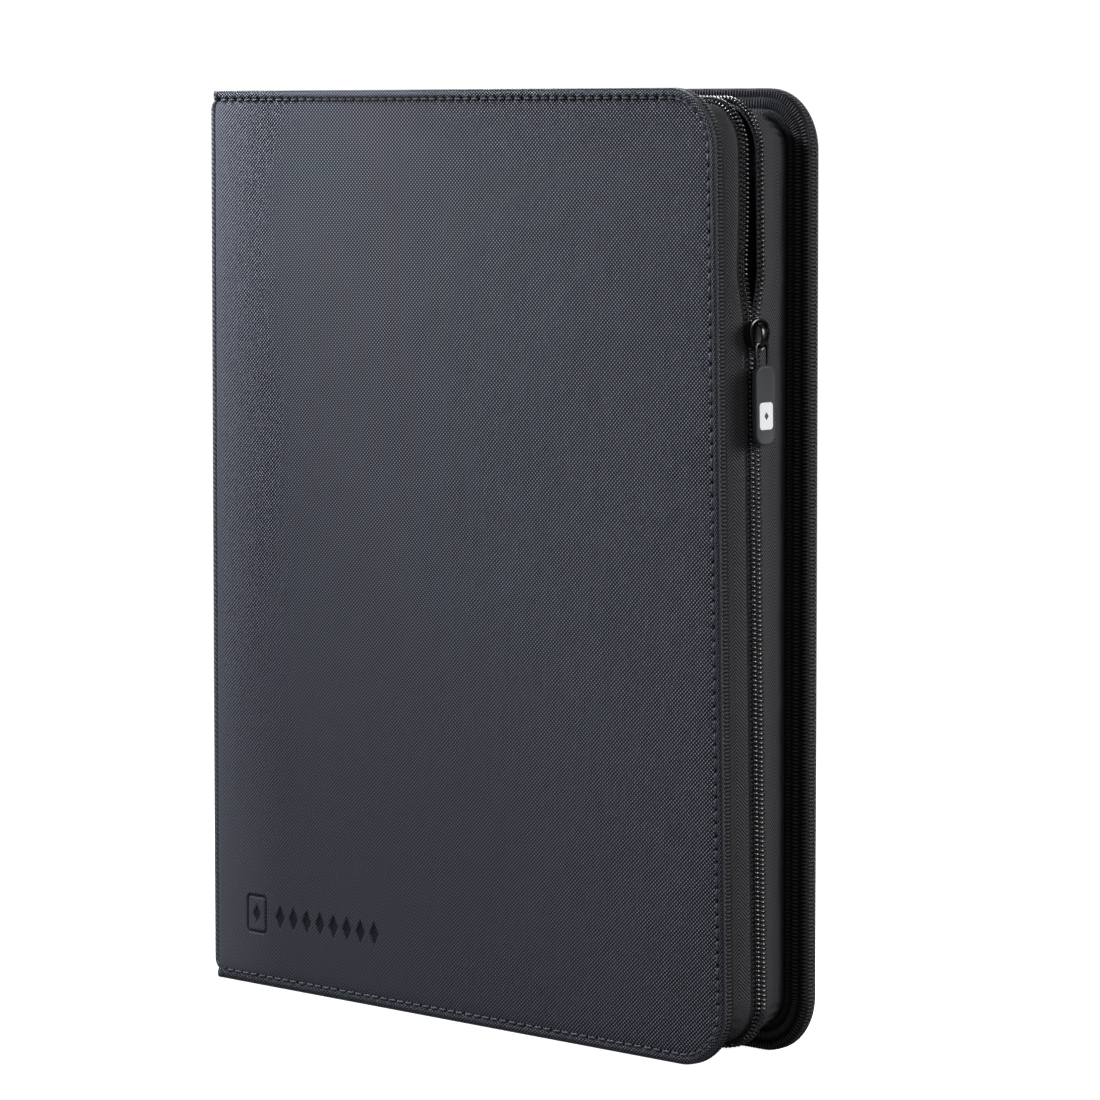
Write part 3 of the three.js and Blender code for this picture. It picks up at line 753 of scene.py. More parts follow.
def lozenge(u, z, centre, size):
    """Signed distance from a lozenge, whose size is half its width and half its height."""
    ratio = size[0] / size[1]
    return (np.abs(u - centre[0]) + ratio * np.abs(z - centre[1]) - size[0]) / math.hypot(1, ratio)


def mark(u, z):
    """How deep the pressed mark is at a place, from 0 to 1: a card with a pip, then a row of lozenges."""
    middle = (MARK_LOW[1] + MARK_HIGH[1]) / 2
    emblem = (CARD_CENTRE, middle)
    shapes = [np.abs(card(u, z, emblem)) - CARD_LINE / 2, lozenge(u, z, emblem, PIP_SIZE)]
    for k in range(LOZENGES):
        shapes.append(lozenge(u, z, (LOZENGE_START + LOZENGE_PITCH * k, middle), LOZENGE_SIZE))
    return 1 - smooth(np.minimum.reduce(shapes), -PRESSED_EDGE, PRESSED_EDGE)


def spaced(low, high, step):
    """Values from low to high, about a step apart."""
    return np.linspace(low, high, max(2, round((high - low) / step) + 1))


def panel_grid(cover, start, inset, fine):
    """The u and z of a grid of places, from beside the hinge to an inset. fine adds the mark's mesh."""
    radius = CORNER_RADIUS - inset
    turn = np.linspace(0, math.pi / 2, 15)
    corner = CORNER_RADIUS - radius * np.cos(turn)
    rows = np.concatenate([corner, spaced(CORNER_RADIUS, HEIGHT - CORNER_RADIUS, 7), HEIGHT - corner])
    end = cover.width - inset
    near_hinge = start + 2.4 * np.linspace(0, 1, 7) ** 1.5
    near_edge = end - 6 * np.linspace(0, 1, 8) ** 1.5
    columns = np.concatenate([near_hinge, spaced(near_hinge[-1], near_edge[-1], 8), near_edge])
    if fine:
        rows = np.concatenate([rows, spaced(MARK_LOW[1], MARK_HIGH[1], MARK_STEP)])
        columns = np.concatenate([columns, spaced(MARK_LOW[0], MARK_HIGH[0], MARK_STEP)])
    z = np.unique(np.round(rows, 3))
    share = (np.unique(np.round(columns, 3)) - start) / (end - start)
    down = np.clip(CORNER_RADIUS - z, 0, radius)
    up = np.clip(z - (HEIGHT - CORNER_RADIUS), 0, radius)
    reach = cover.width - CORNER_RADIUS + np.sqrt(radius**2 - np.maximum(down, up) ** 2)
    u = start + share[None, :] * (reach[:, None] - start)
    return u, np.broadcast_to(z[:, None], u.shape)


def inset_of(cover, u, z):
    """How far a place is in from the cover's outline on its three hemmed sides."""
    beyond_u = np.maximum(u - (cover.width - CORNER_RADIUS), 0)
    from_middle = np.abs(z - HEIGHT / 2) - (HEIGHT / 2 - CORNER_RADIUS)
    beyond_z = np.maximum(from_middle, 0)
    flat = np.minimum(cover.width - u, HEIGHT / 2 - np.abs(z - HEIGHT / 2))
    both = (beyond_u > 0) & (beyond_z > 0)
    return np.where(both, CORNER_RADIUS - np.hypot(beyond_u, beyond_z), flat)


def cover_panel(cover):
    """The cloth over the board, drawn down along the stitching and rolled into the hinge's groove."""
    u, z = panel_grid(cover, PANEL_START, HEM_WIDTH + 0.1, fine=cover is FRONT)
    pulled = PULL_DEPTH * np.exp(-np.maximum(inset_of(cover, u, z) - HEM_WIDTH, 0) / PULL_REACH)
    rolled = ROLL_DEPTH * (1 - smooth(u, PANEL_START, PANEL_START + ROLL_REACH)) ** 1.4
    pressed = mark(u, z) if cover is FRONT else 0 * u
    depth = PANEL_DEPTH + pulled + rolled + MARK_DEPTH * pressed
    outer = cover.place(u, depth, z)
    inner = cover.place(u, np.maximum(depth + 0.12, CLOTH + 0.1), z)
    uv = np.stack([u, z], axis=-1)
    piece = slab(f"{cover.name}_cover_cloth", outer, inner, uv, LOOKS["coated_fabric"], relief=0.75 * pressed)
    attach(piece, cover.body)
    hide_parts(f"{cover.name}_cover_fabric")
    return piece


def cover_hem(cover):
    """The folded hem that wraps the cover's edge, drawn down into a pit between stitches."""
    at = three_sides(cover, HEM_START, 0.5)
    pit = smooth(stitch_cycle(at.along), 1 - STITCH_GAP / STITCH_PITCH, 0.9)
    shape = [
        (0.85, 1.4),
        (0.85, 0.95),
        (HEM_WIDTH + 0.6, 1.35),
        (HEM_WIDTH + 0.6, 0.6),
        (HEM_WIDTH + 0.1, 0.36),
        (STITCH_INSET - 0.2, 0.2),
        (STITCH_INSET - 0.9, -0.06),
        (2.2, -0.22),
        (1.3, -0.22),
        (0.75, -0.08),
        (0.3, 0.22),
        (0.06, 0.6),
        (0.0, 0.95),
        (0.12, 1.3),
        (0.4, 1.44),
    ]
    section, relief = repeated(shape, at)
    # relief marks each stitch pit, which hem_fabric paints near black as painted shade
    for point, drop, shade in ((3, 0.2, 1.0), (4, 0.35, 1.0), (5, 0.6, 1.0), (6, 0.25, 0.5)):
        section[:, point, 1] += drop * pit
        relief[:, point] = shade * pit
    piece = edge_sweep(f"{cover.name}_hem", cover, at, section, LOOKS["hem_fabric"], math.radians(70), relief)
    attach(piece, cover.body)
    return piece


def round_section(inset, depth, radius, sides):
    """A round section about an inset and a depth, (sides, 2)."""
    angle = TAU * np.arange(sides) / sides
    return np.stack([inset + radius * np.cos(angle), depth + radius * np.sin(angle)], axis=-1)


def cover_piping(cover):
    """The narrow folded edge that stands along the hem's outer corner."""
    at = three_sides(cover, HEM_START, 1.2)
    section = round_section(inset=0.44, depth=0.34, radius=0.42, sides=8)
    piece = edge_sweep(f"{cover.name}_piping", cover, at, section, LOOKS["piping_cloth"])
    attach(piece, cover.body)
    return piece


def stitches(name, centres, normals, alongs):
    """Threads that lie on the cloth and dive into it at both ends. Each argument is (count, 3)."""
    sides = 6
    bends = np.linspace(-1, 1, 7)
    half = (STITCH_PITCH - STITCH_GAP / 2) / 2
    sideways = np.cross(alongs, normals)
    lift = THREAD_LIFT - THREAD_DIVE * np.abs(bends) ** 3.5
    middle = centres[:, None] + alongs[:, None] * (bends * half)[:, None] + normals[:, None] * lift[:, None]
    points = middle[:, :, None] + ring_round(sideways, normals, THREAD_RADIUS, sides)[:, None]
    count, steps = points.shape[:2]
    ids = np.arange(count * steps * sides).reshape(count, steps, sides)
    closed = np.concatenate([ids, ids[:, :, :1]], axis=2)
    uv = np.stack(np.meshgrid(bends * half, np.arange(sides + 1) * 0.27, indexing="ij"), axis=-1)
    faces = np.concatenate([quads(grid) for grid in closed])
    corners = np.concatenate([quads(uv)] * count)
    ends = np.concatenate([ids[:, 0], ids[:, -1]])
    blocks = [(faces, corners), (ends, np.zeros(ends.shape + (2,)))]
    return build(name, points.reshape(-1, 3), blocks, LOOKS["thread"])


def cover_stitches(cover):
    """The stitching along the inner side of the hem."""
    at = three_sides(cover, HEM_START, 0.5)
    middles = np.arange(STITCH_PITCH / 2 + STITCH_PITCH, at.along[-1] - STITCH_PITCH, STITCH_PITCH)
    picked = np.abs(at.along[None, :] - middles[:, None]).argmin(axis=1)
    line = on_edge(cover, at, STITCH_INSET - 0.1, 0.12)[:, 0]
    alongs = unit_rows(line[picked + 1] - line[picked - 1])
    normals = np.broadcast_to([0.0, -cover.inwards, 0.0], alongs.shape)
    piece = stitches(f"{cover.name}_hem_stitches", line[picked], normals, alongs)
    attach(piece, cover.body)
    return piece


# ---- Ribbed ribbon round the covers' inner edges ----


def edge_ribbon(cover):
    """Ribbon woven in rows of cords, which turns over the edge and lies on the lining."""
    at = three_sides(cover, COVER_START, RIB_PITCH / 5)
    leg_top = 1.15
    flat = COVER_DEPTH
    rows = [
        [(0.4, leg_top + 0.1), (0.3, leg_top + 0.35), (0.3, flat - 1.4), (0.3, flat - 0.75)],
        [(0.42, flat - 0.35), (0.75, flat - 0.02), (1.4, flat), (2.4, flat), (3.2, flat)],
        [(3.6, flat), (4.4, flat), (5.6, flat), (6.7, flat), (7.2, flat)],
        [(7.6, flat), (8.4, flat), (9.4, flat), (10.4, flat), (RIBBON_WIDTH - 0.2, flat)],
    ]
    shape = [point for row in rows for point in row]
    ends = np.cumsum([len(row) for row in rows])
    under = [(inset, flat - 0.5) for inset in (RIBBON_WIDTH, 5.0, 1.3)]
    under += [(0.85, flat - 1.1), (0.85, leg_top)]
    section, relief = repeated(shape + under, at)
    outwards = np.array([(-1, 0)] * 5 + [(-0.6, 0.6)] + [(0, 1)] * (len(shape) - 6), float)
    for row, (first, last) in enumerate(zip([0, *ends[:-1]], ends)):
        for point in range(first, last):
            place = (point - first) / (last - first - 1)
            crown = math.sin(math.pi * (0.04 + 0.92 * place)) ** 0.5
            slant = 0.9 * place if row == 3 else 0.0
            rib = 0.5 + 0.5 * np.cos(TAU * (at.along / RIB_PITCH + 0.5 * row + slant))
            lift = RIB_HEIGHT * crown * rib - 0.1 * (1 - crown)
            section[:, point] += outwards[point] * lift[:, None]
            # relief is high on each cord's crown; ribbed_ribbon paints the low places between cords as shade
            relief[:, point] = crown * rib
    name = f"{cover.name}_edge_binding"
    piece = edge_sweep(name, cover, at, section, LOOKS["ribbed_ribbon"], math.radians(75), relief)
    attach(piece, cover.body)
    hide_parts(f"{cover.name}_edge_ribbon")


# ---- Zip ----


def rounded_line(points, count):
    """A smooth line of evenly spread points through a run of corner points, (stations, corners, 2)."""
    padded = np.concatenate([points[:, :1], points, points[:, -1:]], axis=1)
    spans = points.shape[1] - 1
    made = []
    for value in np.linspace(0, spans, count):
        span = min(int(value), spans - 1)
        t = value - span
        a, b, c, d = (padded[:, span + k] for k in range(4))
        bend = 2 * a - 5 * b + 4 * c - d
        turn = 3 * b - a - 3 * c + d
        made.append(0.5 * (2 * b + (c - a) * t + bend * t**2 + turn * t**3))
    return np.stack(made, axis=1)


def tape(cover):
    """Half of the gusset: from its seam on the lining, bowed out to the coil's seat."""
    at = three_sides(cover, ZIP_START - TAPE_END, 0.8)
    depth, inset = cover.row(at)
    seam = RIBBON_WIDTH + 0.4
    seam_depth = COVER_DEPTH - 0.35
    seat = inset + ROW_RADIUS + 0.55
    corner = 2 * np.abs(at.out_u * at.out_z)
    pleat = 0.5 * corner * np.cos(TAU * at.along / 6.5)
    ripple = 0.12 * np.sin(TAU * at.along / 47) + 0.08 * np.sin(TAU * at.along / 19 + 1)
    bow = 1.0 + pleat + ripple
    corners = [
        (seam + 3.5 + 0 * inset, seam_depth + 0 * depth),
        (seam + 0.6 + 0 * inset, seam_depth + 0.05 + 0 * depth),
        (seam - 0.4 - bow, seam_depth + 0.22 * (depth - seam_depth)),
        (0.5 * (seam + seat) - 0.5 * bow, seam_depth + 0.5 * (depth - seam_depth)),
        (seat - 0.2, depth - 3.4),
        (seat, depth - 1.6),
        (seat + 0.1, depth + 0.7),
    ]
    line = rounded_line(np.stack([np.stack(pair, axis=-1) for pair in corners], axis=1), 22)
    sideways = left_of(line) * TAPE / 2
    section = np.concatenate([line + sideways, (line - sideways)[:, ::-1]], axis=1)
    piece = edge_sweep(f"{cover.name}_gusset_tape", cover, at, section, LOOKS["zip_tape"], math.radians(70))
    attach(piece, cover.body)
    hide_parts(f"{cover.name}_zip_tape")


def coil(cover):
    """A zip coil: nylon wire wound in flat turns. Where the zip is open, its meshing side tips outwards."""
    steps = 12
    at = three_sides(cover, ZIP_START, COIL_PITCH / steps, inset=CHAIN_INSET)
    depth, inset = cover.row(at)
    turn = TAU * at.along / COIL_PITCH
    across = cover.inwards * COIL_HALF_WIDTH * np.cos(turn)
    up = COIL_HALF_HEIGHT * np.sin(turn)
    tilt = math.radians(45) * openness(at.u, at.z)
    deeper = across * np.cos(tilt) - up * np.sin(tilt)
    outer = across * np.sin(tilt) + up * np.cos(tilt)
    line = on_edge(cover, at, (inset - outer)[:, None], (depth + deeper)[:, None])[:, 0]
    ahead = unit_rows(np.gradient(line, axis=0))
    centre = on_edge(cover, at, inset[:, None], depth[:, None])[:, 0]
    outward = line - centre
    outward = unit_rows(outward - ahead * (outward * ahead).sum(axis=1, keepdims=True))
    sideways = np.cross(ahead, outward)
    rings = line[:, None] + ring_round(outward, sideways, COIL_WIRE, 7)
    piece = tube(f"{cover.name}_coil_teeth", rings, at.along, LOOKS["coil_nylon"])
    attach(piece, cover.body)
    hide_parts(f"{cover.name}_zip_coil")


# ---- Slider and pull ----

# The slider's own frame: x out of the fore-edge, y across the zip, z along it, from the middle of the zip.
SLIDER_U = FRONT_WIDTH - CHAIN_INSET
SLIDER_ORIGIN = np.array([SPINE_X + SLIDER_U, FRONT_Y - lean(SLIDER_U, SLIDER_Z) + CHAIN_DEPTH, SLIDER_Z])
SLIDER_AXES = np.array([[1, 0, 0], [0, SLIDE[2], -SLIDE[1]], [0, SLIDE[1], SLIDE[2]]])
PIVOT_X = PIVOT[0] - SLIDER_ORIGIN[0]
PIVOT_Z = (PIVOT[2] - SLIDER_Z) / SLIDE[2]
PLATE_TOP = PIVOT_X - 0.95  # room for the link's wire under the bridge
SLIDER_HALF_WIDTH = 5.2
SLIDER_HALF_LENGTH = 5.9


def in_slider(points):
    return SLIDER_ORIGIN + np.asarray(points, float) @ SLIDER_AXES


def layer(outline, x):
    """A ring of points: an outline of y and z at height x above the zip."""
    return in_slider(np.column_stack([x + 0 * outline[:, 0], outline]))


def egg(count):
    """The slider's outline, wider at its upper end: (count, 2) of y and z."""
    angle = TAU * np.arange(count) / count
    width = SLIDER_HALF_WIDTH * (1 + 0.12 * np.sin(angle)) * np.cos(angle)
    return np.stack([width, SLIDER_HALF_LENGTH * np.sin(angle)], axis=-1)


def loft(name, rings, material, sharp=math.radians(40)):
    """A closed solid through rings of points, ending in a flat face at each end."""
    rings = np.asarray(rings, float)
    along = np.arange(len(rings)) * 1.0
    return tube(name, rings, along, material, sharp=sharp)


def slider_shell():
    """The outer plate: an egg-shaped dish with a raised rim and side walls that wrap the coils."""
    shape = egg(56)
    side = smooth(np.abs(shape[:, 0]), 2.6, 4.4)
    drop = 1.5 * side
    profile = [
        (0.80, PLATE_TOP - 1.1, 0),
        (0.84, PLATE_TOP - 1.3, 1),
        (0.93, PLATE_TOP - 1.3, 1),
        (0.99, PLATE_TOP - 1.0, 1),
        (1.0, PLATE_TOP - 0.6, 0),
        (1.0, PLATE_TOP - 0.1, 0),
        (0.975, PLATE_TOP + 0.2, 0),
        (0.92, PLATE_TOP + 0.34, 0),
        (0.865, PLATE_TOP + 0.2, 0),
        (0.84, PLATE_TOP - 0.2, 0),
        (0.80, PLATE_TOP - 0.75, 0),
        (0.60, PLATE_TOP - 0.85, 0),
    ]
    rings = [layer(shape * scale, height - falls * drop) for scale, height, falls in profile]
    return loft("slider_shell", rings, LOOKS["black_metal"])


BRIDGE_LOW = -4.6
BRIDGE_HIGH = 4.2
BRIDGE_RISE = 2.55
BRIDGE_HALF_WIDTH = 1.15
BRIDGE_HALF_THICKNESS = 0.42


def squared(value):
    """Turns a circle's sine or cosine into that of a round-cornered square."""
    return np.sign(value) * abs(value) ** 0.5


def slider_bridge():
    """The arched bar that holds the link: it climbs, runs nearly level and falls again."""
    t = np.linspace(0, 1, 25)
    height = BRIDGE_RISE * (1 - np.abs(2 * t - 1) ** 3.2)
    line = np.stack([BRIDGE_LOW + (BRIDGE_HIGH - BRIDGE_LOW) * t, height], axis=-1)
    normal = left_of(line[None])[0]
    taper = 1 - 0.18 * np.abs(line[:, 0] / BRIDGE_LOW)
    corners = []
    for k in range(16):
        angle = TAU * k / 16
        y = squared(math.cos(angle)) * BRIDGE_HALF_WIDTH
        lift = squared(math.sin(angle)) * BRIDGE_HALF_THICKNESS
        z = line[:, 0] + normal[:, 0] * lift
        x = PLATE_TOP - 0.5 + line[:, 1] + normal[:, 1] * lift
        corners.append(np.stack([x, y * taper, z], axis=-1))
    rings = in_slider(np.stack(corners, axis=1))
    return loft("slider_bridge", rings, LOOKS["black_metal"], math.radians(60))


def slider_inner():
    """The inner plate and the post that parts the coils."""
    inner_top = -(ROW_RADIUS + 2.0)
    shape = egg(32) * 0.72
    profile = ((0.9, -0.95), (1.0, -0.7), (1.0, -0.2), (0.92, 0))
    plate = [layer(shape * scale, inner_top + height) for scale, height in profile]
    wedge = egg(16) * (0.09, 0.36) + (0, 2.7)
    post = [layer(wedge, x) for x in (inner_top - 0.5, 0.0, PLATE_TOP - 0.8)]
    metal = LOOKS["black_metal"]
    return [loft("slider_inner", plate, metal), loft("slider_post", post, metal)]


def slider():
    """The slider's casting, as one piece."""
    piece = joined("zip_slider_casting", [slider_shell(), slider_bridge(), *slider_inner()])
    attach(piece, "zip_slider")
    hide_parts("zip_slider")


LINK_HALF_WIDTH = 2.95
LINK_LENGTH = 10.6
LINK_SHOWING = 7.8  # from the pivot to the tab, which hides the rest
LINK_WIRE = 0.62
LINK_CORNER = 1.35


def pull_link():
    """A round-cornered loop of bright wire through the bridge."""
    steps = 7
    side = LINK_HALF_WIDTH - LINK_CORNER
    top = PIVOT_Z - LINK_CORNER
    bottom = PIVOT_Z - LINK_LENGTH + LINK_CORNER
    corners = ((side, top, 0), (-side, top, 90), (-side, bottom, 180), (side, bottom, 270))
    turn = TAU * np.arange(12) / 12
    rings = []
    for y, z, start in corners:
        for step in range(steps + 1):
            angle = math.radians(start + 90 * step / steps)
            out = np.array([math.cos(angle), math.sin(angle)])
            middle = np.array([y, z]) + LINK_CORNER * out
            ring = middle + LINK_WIRE * np.cos(turn)[:, None] * out
            rings.append(layer(ring, PIVOT_X + LINK_WIRE * np.sin(turn)))
    piece = tube("pull_wire", np.stack(rings), np.arange(len(rings)) * 1.0, LOOKS["black_metal"], loop=True)
    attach(piece, "zip_pull")
    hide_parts("zip_pull_link")


def round_rectangle(width, length, corner, steps=8):
    """A round-cornered outline about its middle, (points, 2)."""
    points = []
    for k, (sy, sz) in enumerate(((1, 1), (-1, 1), (-1, -1), (1, -1))):
        angle = np.radians(90 * k + 90 * np.arange(steps + 1) / steps)
        y = sy * (width / 2 - corner) + corner * np.cos(angle)
        z = sz * (length / 2 - corner) + corner * np.sin(angle)
        points.append(np.stack([y, z], axis=-1))
    return np.concatenate(points)


def hanging_plate(name, size, profile, top, material):
    """A round-cornered plate in the plane of the zip. profile lists (inset, x), from its back to its face."""
    width, length, corner = size
    rings = []
    for inset, x in profile:
        outline = round_rectangle(width - 2 * inset, length - 2 * inset, max(corner - inset, 0.05))
        outline = outline + (0, top - length / 2)
        rings.append(layer(outline, x))
    return loft(name, rings, material, math.radians(35))


TAB_SIZE = (10, 28, 4)  # width, length and corner radius
TAB_X = PIVOT_X + 0.4
TAB_TOP = PIVOT_Z - LINK_SHOWING
TAB_HALF = 1.5


def pull_tab():
    """The soft tab, with eased edges and a low raised border on its face."""
    back = TAB_X - 0.9
    face = TAB_X + TAB_HALF
    profile = [
        (1.2, back),
        (0.35, back + 0.05),
        (0.08, back + 0.3),
        (0.0, back + 0.7),
        (0.0, face - 0.75),
        (0.09, face - 0.35),
        (0.34, face - 0.08),
        (0.62, face),
        (0.95, face - 0.02),
        (1.2, face - 0.13),
    ]
    piece = hanging_plate("soft_pull_tab", TAB_SIZE, profile, TAB_TOP, LOOKS["soft_rubber"])
    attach(piece, "zip_pull")
    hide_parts("zip_pull_tab")


BADGE_SIZE = (6.8, 9.6, 1.3)
BADGE_TOP = TAB_TOP - 12.9
BADGE_SINK = 0.13
PIP_WIDTH = 1.5


def pull_badge():
    """A plain white card with a dark pip, printed on the tab."""
    face = TAB_X + TAB_HALF - BADGE_SINK
    profile = [(0.0, face - 0.1), (0.0, face + 0.1), (0.1, face + 0.18)]
    badge = hanging_plate("pull_card", BADGE_SIZE, profile, BADGE_TOP, LOOKS["white_print"])
    square = round_rectangle(PIP_WIDTH, PIP_WIDTH, 0.2, steps=3)
    on_its_corner = square @ np.array([[1, 1], [-1, 1]]) * math.sqrt(0.5)
    pip = on_its_corner * (1, 1.35) + (0, BADGE_TOP - BADGE_SIZE[1] / 2)
    rings = [layer(pip, x) for x in (face + 0.1, face + 0.22)]
    dark = loft("pull_card_pip", rings, LOOKS["dark_print"])
    for piece in (badge, dark):
        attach(piece, "zip_pull")
    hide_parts("zip_pull_badge")


# ---- Spine and hinges ----

SPINE_EDGE = SPINE_LOW[1] - FRONT_Y


def end_profile(z):
    """How the spine's cloth stands out along its height: a hem at each end, and a pinch under it."""
    from_end = HEIGHT / 2 - np.abs(z - HEIGHT / 2)
    edge = 0.75 * (1 - np.sqrt(np.clip(1 - (1 - np.clip(from_end / 0.9, 0, 1)) ** 2, 0, 1)))
    hem = 0.16 * smooth(from_end, 0.2, 1.2) * (1 - smooth(from_end, STITCH_INSET - 0.9, STITCH_INSET - 0.1))
    pinch = 0.3 * np.exp(-((from_end - STITCH_INSET) ** 2) / 0.35)
    return hem - edge - pinch


def end_rows(step):
    """Heights along the spine, close together near its ends."""
    near = np.concatenate([np.linspace(0, 1.0, 7), np.linspace(1.3, 5.5, 16), np.linspace(6.5, 14, 8)])
    middle = spaced(16, HEIGHT - 16, step)
    return np.concatenate([near, middle, HEIGHT - near[::-1]])


def spine_panel():
    """The cloth over the spine's board, eased where it meets each hinge."""
    z = end_rows(7)[:, None]
    low = SPINE_LOW[1] - 0.1
    high = SPINE_HIGH[1] + 0.1
    share = np.concatenate([np.linspace(0, 0.06, 6), np.linspace(0.1, 0.9, 17), np.linspace(0.94, 1, 6)])
    y = low + (high - low) * share[None, :]
    from_side = np.minimum(y - low, high - y)
    eased = 0.45 * (1 - smooth(from_side, 0, 2.0)) ** 1.5
    depth = eased - end_profile(z)
    y, z, depth = np.broadcast_arrays(y, z, depth)
    outer = np.stack([SPINE_X + depth, y, z], axis=-1)
    inner = np.stack([SPINE_X + np.maximum(depth + 0.15, CLOTH + 0.2), y, z], axis=-1)
    uv = np.stack([from_side + 0 * z, z], axis=-1)
    piece = slab("spine_cloth", outer, inner, uv, LOOKS["coated_fabric"])
    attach(piece, "spine")
    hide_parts("spine_fabric")
    return piece


def spine_hem(name, edge, way):
    """The cloth turned over the spine board's top or bottom."""
    inner = LINING_FACE + 0.25
    shape = [
        (0.6, 0.3),
        (0.2, 0.9),
        (0.12, inner - 0.6),
        (0.5, inner - 0.1),
        (5.2, inner),
        (5.3, inner - 0.4),
        (1.2, inner - 0.5),
        (0.85, inner - 1.0),
        (0.85, 1.0),
    ]
    inset, depth = np.array(shape).T
    y = spaced(SPINE_LOW[1] - 0.2, SPINE_HIGH[1] + 0.2, 1.5)
    rings = [np.column_stack([SPINE_X + depth, at + 0 * inset, edge + way * inset]) for at in y]
    piece = tube(f"spine_{name}_hem", np.stack(rings), y, LOOKS["hem_fabric"])
    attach(piece, "spine")
    return piece


def spine_stitches(name, edge, way):
    """The stitching along that hem."""
    middles = np.arange(SPINE_LOW[1] + 1.5, SPINE_HIGH[1] - 1, STITCH_PITCH)
    ones = np.ones(len(middles))
    centres = np.column_stack([(SPINE_X + 0.2) * ones, middles, (edge + way * STITCH_INSET) * ones])
    piece = stitches(f"spine_{name}_stitches", centres, np.outer(ones, (-1, 0, 0)), np.outer(ones, (0, 1, 0)))
    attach(piece, "spine")
    return piece


def spine_ends():
    """The hem and the stitching along the spine's top and bottom."""
    made = []
    for name, edge, way in (("bottom", 0.0, 1), ("top", HEIGHT, -1)):
        made += [spine_hem(name, edge, way), spine_stitches(name, edge, way)]
    return made


def hinge_cloth(cover):
    """The rolled cloth that joins the spine to a cover, with a groove beside the cover's cloth."""
    z = end_rows(7)
    from_end = HEIGHT / 2 - np.abs(z - HEIGHT / 2)
    full = smooth(from_end, 2.6, 7.0)[:, None]
    ends = end_profile(z)[:, None]
    centre_u = 1.2 - 2.1 * full
    centre_depth = 1.3 + 0.05 * full
    radius = 1.7 + ends
    turn = np.radians(np.linspace(95, 300, 19))
    roll_u = centre_u + radius * np.cos(turn)
    roll_depth = centre_depth + (radius - 0.4 * full) * np.sin(turn)
    ones = np.ones((len(z), 1))
    before_u = np.array([1.3, 1.0, 0.75]) * ones
    before_depth = np.array([SPINE_EDGE + 1.6, SPINE_EDGE + 0.4, SPINE_EDGE - 0.9]) * ones
    after_u = np.concatenate([0.35 * ones, 1.3 * ones, 3.0 * ones], axis=1) + 0.9 * (1 - full)
    after_depth = np.array([0.7, 0.95, 1.25]) * ones
    u = np.concatenate([before_u, roll_u, after_u], axis=1)
    depth = np.concatenate([before_depth, roll_depth, after_depth], axis=1)
    line = np.stack([u, depth], axis=-1)
    thick = (0.5 + 0.6 * (1 - smooth(from_end, 0.6, 2.0)))[:, None, None]
    inner = line + left_of(line) * thick
    section = np.concatenate([line, inner[:, ::-1]], axis=1)
    points = cover.place(section[..., 0], section[..., 1], z[:, None])
    piece = tube(f"{cover.name}_hinge_cloth", points, z, LOOKS["rolled_cloth"], sharp=math.radians(60))
    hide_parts(f"{cover.name}_hinge_fabric")
    start = cover.place(0.0, SPINE_EDGE, HEIGHT / 2) * MM
    end = cover.place(SPINE_EDGE, 0.0, HEIGHT / 2) * MM
    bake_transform(piece)


# ---- Linings and leaves ----


def cover_lining(cover):
    """Lining cloth glued over the board's inner side, soft over its edges."""
    node = f"{cover.name}_cover_lining"
    inset = BOARD_INSET + 0.1
    u, z = panel_grid(cover, COVER_START - 0.2, inset, fine=False)
    away = np.minimum(inset_of(cover, u, z) - inset, u - u.min())
    eased = 0.25 * (1 - smooth(away, 0, 2))
    inner = cover.place(u, LINING_FACE - eased, z)
    outer = cover.place(u, LINING_OUTER + 0 * u, z)
    piece = slab(f"{cover.name}_lining_cloth", inner, outer, np.stack([u, z], axis=-1), LOOKS["lining_cloth"])
    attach(piece, cover.body)
    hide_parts(node)


LEAVES = 20
POCKETS = 3  # along each side of a leaf
WELD = 2.4
LEAF_MARGIN = 3
BOUND_MARGIN = 12
FILM = 0.1
SWELL = 0.26


def pocket_lines(low, high):
    """Places across a leaf, close together at each weld, and how much each stands in a pocket, 0 to 1."""
    places = []
    fills = []
    share = np.array([0, 0.02, 0.05, 0.12, 0.3, 0.5, 0.7, 0.88, 0.95, 0.98])
    for k in range(POCKETS):
        start = low + (high - low) * k / POCKETS
        end = low + (high - low) * (k + 1) / POCKETS
        places.append(start + WELD / 2 + (end - start - WELD) * share)
        fills.append(np.sin(math.pi * share) ** 0.4)
        places.append([end - WELD / 2])
        fills.append([0.0])
    return np.concatenate(places), np.concatenate(fills)


def leaf(number):
    """One leaf: nine pockets of film welded to a black backing, swelling a little between the welds."""
    node = f"leaf_{number:02d}"
    low, high = box(node)
    x, fill_x = pocket_lines(low[0] + BOUND_MARGIN, high[0] - LEAF_MARGIN)
    z, fill_z = pocket_lines(low[2] + LEAF_MARGIN, high[2] - LEAF_MARGIN)
    x = np.concatenate([[low[0], low[0] + 4], x, [high[0]]])
    z = np.concatenate([[low[2]], z, [high[2]]])
    fill_x = np.concatenate([[0, 0], fill_x, [0]])
    fill_z = np.concatenate([[0], fill_z, [0]])
    middle = (low[1] + high[1]) / 2
    half = FILM + SWELL * fill_x[None, :] * fill_z[:, None]
    grid_x, grid_z = np.meshgrid(x, z)
    uv = np.stack([grid_x, grid_z], axis=-1)
    faces = [np.stack([grid_x, middle + side * half, grid_z], axis=-1) for side in (-1, 1)]
    pocket = np.minimum(fill_x[None, :], 1) * fill_z[:, None]
    piece = slab(f"pocket_leaf_{number:02d}", *faces, uv, LOOKS["leaf_film"], relief=smooth(pocket, 0, 0.3))
    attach(piece, node)
    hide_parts(node)


# ---- CAD nodes that keep their shape ----


